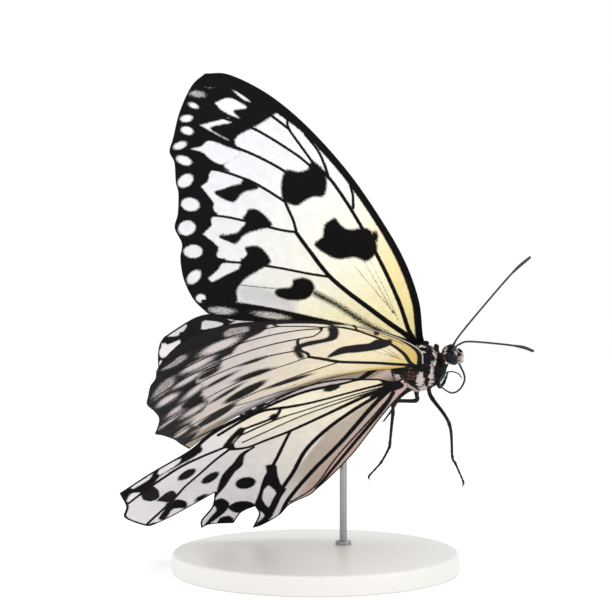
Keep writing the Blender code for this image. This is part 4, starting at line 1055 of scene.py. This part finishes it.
def slivers(roots, ways, lengths, width):
    """Root + ring * width, middle + 0.7 ring * width and tip for each sliver, all closed and facing out."""
    ways = unit(ways)[:, None]
    side = unit(np.cross(ways, (0.31, 0.52, 0.79)))
    other = np.cross(ways, side)
    angle = 2 * np.pi * np.arange(3)[:, None] / 3
    ring = np.cos(angle) * side + np.sin(angle) * other
    roots, lengths = roots[:, None], lengths[:, None, None]
    low = roots - 0.1 * lengths * ways + 0.5 * width * ring
    middle = roots + 0.5 * lengths * ways + 0.35 * width * ring
    points = np.concatenate([low, middle, roots + lengths * ways], axis=1).reshape(-1, 3)
    first = SLIVER_POINTS * np.arange(len(roots))[:, None, None]
    sides = np.array([[k, (k + 1) % 3, (k + 1) % 3 + 3, k + 3] for k in range(3)])
    ends = np.array([[2, 1, 0]] + [[k + 3, (k + 1) % 3 + 3, 6] for k in range(3)])
    return points, [(first + sides).reshape(-1, 4), (first + ends).reshape(-1, 3)]


def hairs_along(path, radii, chosen, lean, shortest, longest, width, draw):
    """Slivers out of a tube's skin at its chosen points and random angles, leaning along the path."""
    along = unit(path[chosen + 1] - path[chosen])
    out = unit(np.cross(along, draw.normal(size=(len(chosen), 3))))
    return slivers(path[chosen] + out * radii[chosen, None] * 0.9, along + lean * out,
                   draw.uniform(shortest, longest, len(chosen)), width)


# %% Legs
FOLDED_LEG = [(2.2, -1.4, -3.6), (1.6, -2.2, -5.9), (3, -1.9, -5.3), (4.5, -1.3, -3.9)]
LEG_PATH = {
    "leg_fore_right": FOLDED_LEG,
    "leg_fore_left": [(x, -y, z) for x, y, z in FOLDED_LEG],
    "leg_mid_right": [(0.2, -1.2, -3), (-1, -1.9, -6.2), (-0.9, -3.1, -7.5), (1.9, -9.2, -10),
                      (0.2, -13.6, -14.8), (0.3, -14.5, -16), (0.8, -17.5, -18.6), (0.5, -18, -19)],
    "leg_mid_left": [(0.2, 1.2, -3), (-1.4, 1.8, -6), (-3, 2.4, -7.4), (-9, 2.4, -8.9), (-12.8, 2.2, -11.6),
                     (-16.4, 2, -14)],
    "leg_hind_right": [(-2.6, -1, -3), (-3.9, -1.8, -6.2), (-4.7, -2.4, -7.2), (-8.6, -2.7, -5.4),
                       (-9.6, -4.6, -6.6), (-11.2, -10.4, -8.8), (-11.5, -11, -9.2), (-14, -13.3, -10.4),
                       (-16.9, -15.4, -10.9), (-17.2, -15.9, -11.3)],
    "leg_hind_left": [(-2.6, 1, -3), (-4.2, 1.6, -5.6), (-6, 2.2, -6.6), (-11.4, 3.2, -6.4),
                      (-14.6, 3.6, -9.4), (-19, 3.4, -11.8), (-22.6, 3.6, -13)]}
LEG_RADII = ([0, 0.06, 0.14, 0.5, 0.75, 1], [0.85, 0.7, 0.44, 0.34, 0.24, 0.16])      # along a leg, mm
# a claw's points, forward, across and down from the foot
CLAW = [(-0.1, 0, 0), (0.12, 0.14, -0.03), (0.34, 0.2, 0.02), (0.44, 0.18, 0.18)]
BRISTLES_PER_LEG = 70


def leg(knots, draw):
    """Radius falling along the way, a bump at each joint, two hooked claws at the foot, and bristles."""
    path, run, part = path_through(knots, 0.18)
    radii = np.interp(part, *LEG_RADII)
    for knot in knots[2:-1]:
        at = run[np.argmin(np.linalg.norm(path - knot, axis=1))]
        radii = radii + 0.07 * np.exp(-((run - at) / 0.35) ** 2)
    radii = radii + ramp(part, 0.66, 0.7) * 0.035 * (run / 1.1 % 1.0) ** 2
    forward = unit(path[-1] - path[-4])
    across = unit(np.cross(forward, TURN.T @ (0, 0, 1)))
    down = np.cross(forward, across)
    claws = [tube([path[-1] + a * forward + hand * b * across + c * down for a, b, c in CLAW],
                  [0.08, 0.07, 0.05, 0.02], 6) for hand in (1, -1)]
    chosen = draw.integers(int(len(path) * 0.25), len(path) - 3, BRISTLES_PER_LEG)
    return join(tube(path, radii, 14), *claws, hairs_along(path, radii, chosen, 0.9, 0.22, 0.4, 0.07, draw))


draw = np.random.default_rng(11)
for name, knots in LEG_PATH.items():
    animal_piece(name + "_jointed", leg(knots, draw), LEG_HORN, [name])

# %% [markdown]
# ## Abdomen
# The abdomen is long and slender, of eight telescoping rings: each one widens to its rear rim and the
# next starts a little inside it, so the radius follows a saw tooth. It is dark along the back, pale
# grey on the flanks and white below, with a darker line at each rim.

# %% Abdomen
ABDOMEN_PATH = [(-4, 0, -0.2), (-12, 0, -2.6), (-18, 0, -5.6), (-23.2, 0, -8.8), (-31.5, 0, -15.2)]
ABDOMEN_SEGMENTS, ABDOMEN_RADIUS, ABDOMEN_SIDES = 8, 2.1, 36
PALE_START = 7.5               # its first rings are pale all round, mm from its root


def abdomen_part():
    """The radius * taper at both ends * a saw tooth for each ring; pale by how far down a point faces."""
    path, run, part = path_through(ABDOMEN_PATH, 0.22)
    taper = np.minimum(1, 0.62 + 2.6 * part) * np.minimum(1, 0.12 + 2.4 * (1 - part)) ** 0.7
    phase = ABDOMEN_SEGMENTS * part % 1.0
    saw = 0.05 * ramp(phase, 0, 0.85) * (1 - ramp(phase, 0.93, 1))
    radii = ABDOMEN_RADIUS * taper * (0.99 + saw)
    points, faces = tube(path, radii, ABDOMEN_SIDES)
    middles, reach, rims, base = (np.concatenate([np.repeat(row, ABDOMEN_SIDES, axis=0), row[[0, -1]]])
                                  for row in (path, radii, np.exp(-((phase - 0.95) / 0.05) ** 2), run))
    upness = (points - middles)[:, 2] / reach
    pale = (0.35 - upness) / 0.22 - 2.2 * rims * (upness > -0.7)
    pale = np.clip(np.maximum(pale, (PALE_START - base) / 0.8), -INK_LIMIT, INK_LIMIT)
    return (points, faces), {"pale": pale, "warm": np.where(np.abs(upness) < 0.6, -1.1, -INK_LIMIT)}


ABDOMEN_SCALES = scaled_cuticle("pale_abdomen_scales", "#2A2729", "#B9A599", "#9A8578")
part, values = abdomen_part()
animal_piece("abdomen_ringed", part, ABDOMEN_SCALES, ["abdomen"], values)

# %% [markdown]
# ## Coat
# The body wears a short coat that lies towards the tail. Most of it is in the bump of the skin, and
# slivers stand out of it all over, so that the outline is soft from every side. Each sliver takes the
# colour of the skin at its root. Its bake map is laid out round the same root, on the egg's own two
# parameters, so that a baked picture of the coat follows the body and not a view.

# %% Make a coat
# a sliver seen from its tip: root triangle outside, middle triangle inside it and the tip in the centre
STAR = 0.0015 * np.array([(1, 0), (-0.5, 0.87), (-0.5, -0.87), (0.5, 0), (-0.25, 0.43), (-0.25, -0.43),
                          (0, 0)])
HAIR_WIDTH, HAIR_SPREAD, TAILWARD = 0.11, 0.22, (-1, 0, -0.25)


def bake_map(piece, places):
    """A UV map from one place per point, given to every corner of every face."""
    layer = piece.data.uv_layers.new(name="OFBake")
    corners = np.empty(len(piece.data.loops), np.int32)
    piece.data.loops.foreach_get("vertex_index", corners)
    layer.data.foreach_set("uv", places[corners].astype(np.float32).ravel())


def coat(name, shape, middle, size, boxiness, count, length, lift, rear, draw):
    """Slivers at even random places of an egg, leaning back by the lift, with the skin's own colours."""
    s, t = np.arccos(1 - 2 * draw.uniform(0.01, 0.99, count)) / np.pi, draw.uniform(0, 1, count)
    roots = shape(s, t)
    inside_out = (roots - middle) / np.array(size)
    normal = unit(np.sign(inside_out) * np.abs(inside_out) ** (boxiness - 1) / size)
    back = np.array(TAILWARD) + draw.normal(0, HAIR_SPREAD, (count, 3))
    back = unit(back - normal * np.sum(back * normal, axis=1, keepdims=True))
    ways = back + normal * draw.uniform(0.5, 1.5, count)[:, None] * lift
    kept = roots[:, 0] > rear
    roots = roots[kept]
    hairs = slivers(roots, ways[kept], length * draw.uniform(0.6, 1.35, len(roots)), HAIR_WIDTH)
    values = {key: np.repeat(value, SLIVER_POINTS) for key, value in body_values(roots).items()}
    piece = animal_piece(name, hairs, BODY_SCALES, values=values)
    places = np.repeat(np.stack([t[kept], s[kept]], 1), SLIVER_POINTS, axis=0)
    bake_map(piece, places + np.tile(STAR, (len(roots), 1)))


draw = np.random.default_rng(29)
coat("thorax_coat", thorax_shape, THORAX_MIDDLE, THORAX_SIZE, THORAX_BOXINESS, 2600, 0.55, 0.35, -5.2, draw)
coat("head_coat", egg(HEAD_MIDDLE, HEAD_SIZE), HEAD_MIDDLE, HEAD_SIZE, 2, 900, 0.42, 0.6, 5.8, draw)

# %% [markdown]
# ## Palps
# Two palps curve up in front of the face. They are brushes of white hair with a dark last joint.

# %% Palps
PALP_PATH = [(7.2, -0.6, -1.9), (8.25, -0.62, -2.65), (8.85, -0.65, -1.55), (8.85, -0.6, -0.15)]
PALP_RADII = ([0, 0.3, 0.7, 0.85, 1], [0.32, 0.34, 0.28, 0.16, 0.08])
PALP_HAIRS, PALP_SIDES, PALP_DARK = 260, 14, 0.74      # dark from this share of its length on


def palp(hand, draw):
    """A tube that narrows to its tip, with slivers leaning to the tip, pale up to the dark last joint."""
    path, _, part = path_through([(x, -hand * y, z) for x, y, z in PALP_PATH], 0.12)
    radii = np.interp(part, *PALP_RADII)
    chosen = draw.integers(2, len(path) - 2, PALP_HAIRS)
    brush = join(tube(path, radii, PALP_SIDES), hairs_along(path, radii, chosen, 0.5, 0.25, 0.45, 0.1, draw))
    share = np.concatenate([np.repeat(part, PALP_SIDES), [0, 1], np.repeat(part[chosen], SLIVER_POINTS)])
    pale = np.clip((PALP_DARK - share) / 0.05, -INK_LIMIT, INK_LIMIT)
    return brush, {"pale": pale, "warm": np.full(len(pale), -INK_LIMIT)}


for side in SIDES:
    brush, values = palp(HAND[side], draw)
    animal_piece(f"palp_{side}_haired", brush, BODY_SCALES, [f"palp_{side}"], values)

# %% [markdown]
# ## Stand
# The animal is caught in flight, so a plain stand carries it: a turned disc of white lacquered wood
# with a rounded rim, and a thin brushed steel rod with a small collar at its foot. Both are profiles
# turned about an upright axis.

# %% Stand
BASE_RADIUS, BASE_HEIGHT, BASE_EDGE, FOOT_EDGE, FLAT = 30, 4, 0.8, 0.3, 6
ROD_RADIUS, ROD_PLACE, COLLAR_RADIUS, COLLAR_HEIGHT, COLLAR_EDGE = 0.8, (6, 7.2), 1.7, 0.9, 0.25


def turned(profile, centre, segments):
    """Radius and height pairs carried round an upright axis, closed by one point at each end."""
    angle = 2 * np.pi * np.arange(segments) / segments
    radius, height = np.array(profile, float).T
    x, y = centre[0] + np.outer(radius, np.cos(angle)), centre[1] + np.outer(radius, np.sin(angle))
    rings = np.stack([x, y, np.repeat(height[:, None], segments, axis=1)], -1).reshape(-1, 3)
    return closed_rings(np.concatenate([rings, [(*centre, height[0]), (*centre, height[-1])]]), segments)


def rounded_corner(radius, height, size, start):
    """A quarter circle inside a corner of the profile, from the start angle, in nine steps."""
    angle = np.radians(start) + np.linspace(0, np.pi / 2, 9)
    return [(radius - size + size * math.cos(a), height + size * math.sin(a)) for a in angle]


rod_foot, collar_top = BASE_HEIGHT + 0.02, BASE_HEIGHT + COLLAR_HEIGHT
rod_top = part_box("stand_rod")[1][2] / MM
disc = [(BASE_RADIUS - FLAT, 0), *rounded_corner(BASE_RADIUS, FOOT_EDGE, FOOT_EDGE, -90),
        *rounded_corner(BASE_RADIUS, BASE_HEIGHT - BASE_EDGE, BASE_EDGE, 0),
        (BASE_RADIUS - FLAT, BASE_HEIGHT)]
rod = [(COLLAR_RADIUS, rod_foot), *rounded_corner(COLLAR_RADIUS, collar_top - COLLAR_EDGE, COLLAR_EDGE, 0),
       (ROD_RADIUS + 0.1, collar_top), (ROD_RADIUS, collar_top + 0.1), (ROD_RADIUS, rod_top - 0.2),
       (ROD_RADIUS - 0.2, rod_top)]

# %% Stand finishes
# sprayed lacquer: one colour, a soft gloss, and the faint orange peel of a sprayed coat
white = colour("#DEDCD8")
LACQUER = two_toned("white_sprayed_lacquer", {"Roughness": 0.38, "IOR": 1.5},
                    ("TexNoise", {"Scale": 1 / (1.4 * MM), "Detail": 2}, "Fac"),
                    ([0.97 * c for c in white], white), {"Strength": 0.15, "Distance": 0.02 * MM})


def brushed_steel(name, tone):
    """Bare steel whose roughness and bump follow long thin streaks along the rod."""
    finish, tree, shader = new_finish(name, {"Base Color": colour(tone), "Metallic": 1})
    place = add_node(tree, "TexCoord")
    stretched = add_node(tree, "Mapping", {"Scale": (1, 1, 0.05)}, {"Vector": (place, "Object")})
    streaks = add_node(tree, "TexNoise", {"Scale": 1 / (0.12 * MM), "Detail": 3},
                       {"Vector": (stretched, "Vector")})
    level = add_node(tree, "MapRange", {"To Min": 0.26, "To Max": 0.46}, {"Value": (streaks, "Fac")})
    bump = add_node(tree, "Bump", {"Strength": 0.2, "Distance": 0.01 * MM}, {"Height": (streaks, "Fac")})
    connect(tree, shader, {"Roughness": (level, "Result"), "Normal": (bump, "Normal")})
    return finish


for name, part, finish, slot, node in (
        ("stand_disc", turned(disc, (0, 0), 160), LACQUER, "base_lacquer", "stand_base"),
        ("stand_rod_turned", turned(rod, ROD_PLACE, 40), brushed_steel("brushed_steel", "#9A9A9C"),
         "rod_steel", "stand_rod")):
    make_piece(name, part, finish, [node], sharp=40)

# %% [markdown]
# ## Floor, light and camera
# The picture has no ground and no shadow, so the floor is plain white and the light comes from all
# round, with one large soft lamp from the upper left that models the wings and a weak one opposite.
# The camera stands level, 310 mm in front of the stand, with the lens that gives the picture's frame.

# %% Floor and light
floor_mesh = bpy.data.meshes.new("floor")
floor_mesh.from_pydata([(-6, -6, 0), (6, -6, 0), (6, 6, 0), (-6, 6, 0)], [], [(0, 1, 2, 3)])
floor_mesh.materials.append(new_finish("white_paper_floor", {"Base Color": colour("#FFFFFF"), "Roughness": 1,
                                                             "Specular IOR Level": 0})[0])
floor = add_object("floor", floor_mesh)

scene = bpy.context.scene
scene.world = bpy.data.worlds.new("studio")
scene.world.use_nodes = True
background = scene.world.node_tree.nodes["Background"]
background.inputs["Color"].default_value = (1, 1, 1, 1)
background.inputs["Strength"].default_value = 1
scene.view_settings.view_transform = "Standard"


def soft_light(name, place, target, size, power):
    """A square area light at a place in metres, turned so that its -Z axis looks at the target."""
    lamp = bpy.data.lights.new(name, "AREA")
    lamp.size, lamp.energy = size, power
    item = add_object(name, lamp)
    item.location = place
    x, y, z = np.array(target) - np.array(place)
    item.rotation_euler = (math.atan2(math.hypot(x, y), -z), 0, math.atan2(y, x) - math.pi / 2)
    print(name, "at", place, "shines", round(math.hypot(x, y, z), 2), "m")


soft_light("key", (-0.35, -0.55, 0.65), (0, 0, 0.05), 0.6, 3)
soft_light("fill", (0.6, -0.3, 0.3), (0, 0, 0.05), 0.5, 1)

# %% Camera
CAMERA_PLACE, LENS = (-2.0, -310.0, 55.5), 86.93
view = bpy.data.cameras.new("camera")
view.lens, view.clip_start = LENS, 0.01
camera = add_object("camera", view)
camera.location = [value * MM for value in CAMERA_PLACE]
camera.rotation_euler = (math.radians(90), 0, 0)
bpy.context.scene.camera = camera
print("camera at", CAMERA_PLACE, "mm, lens", LENS, "mm")
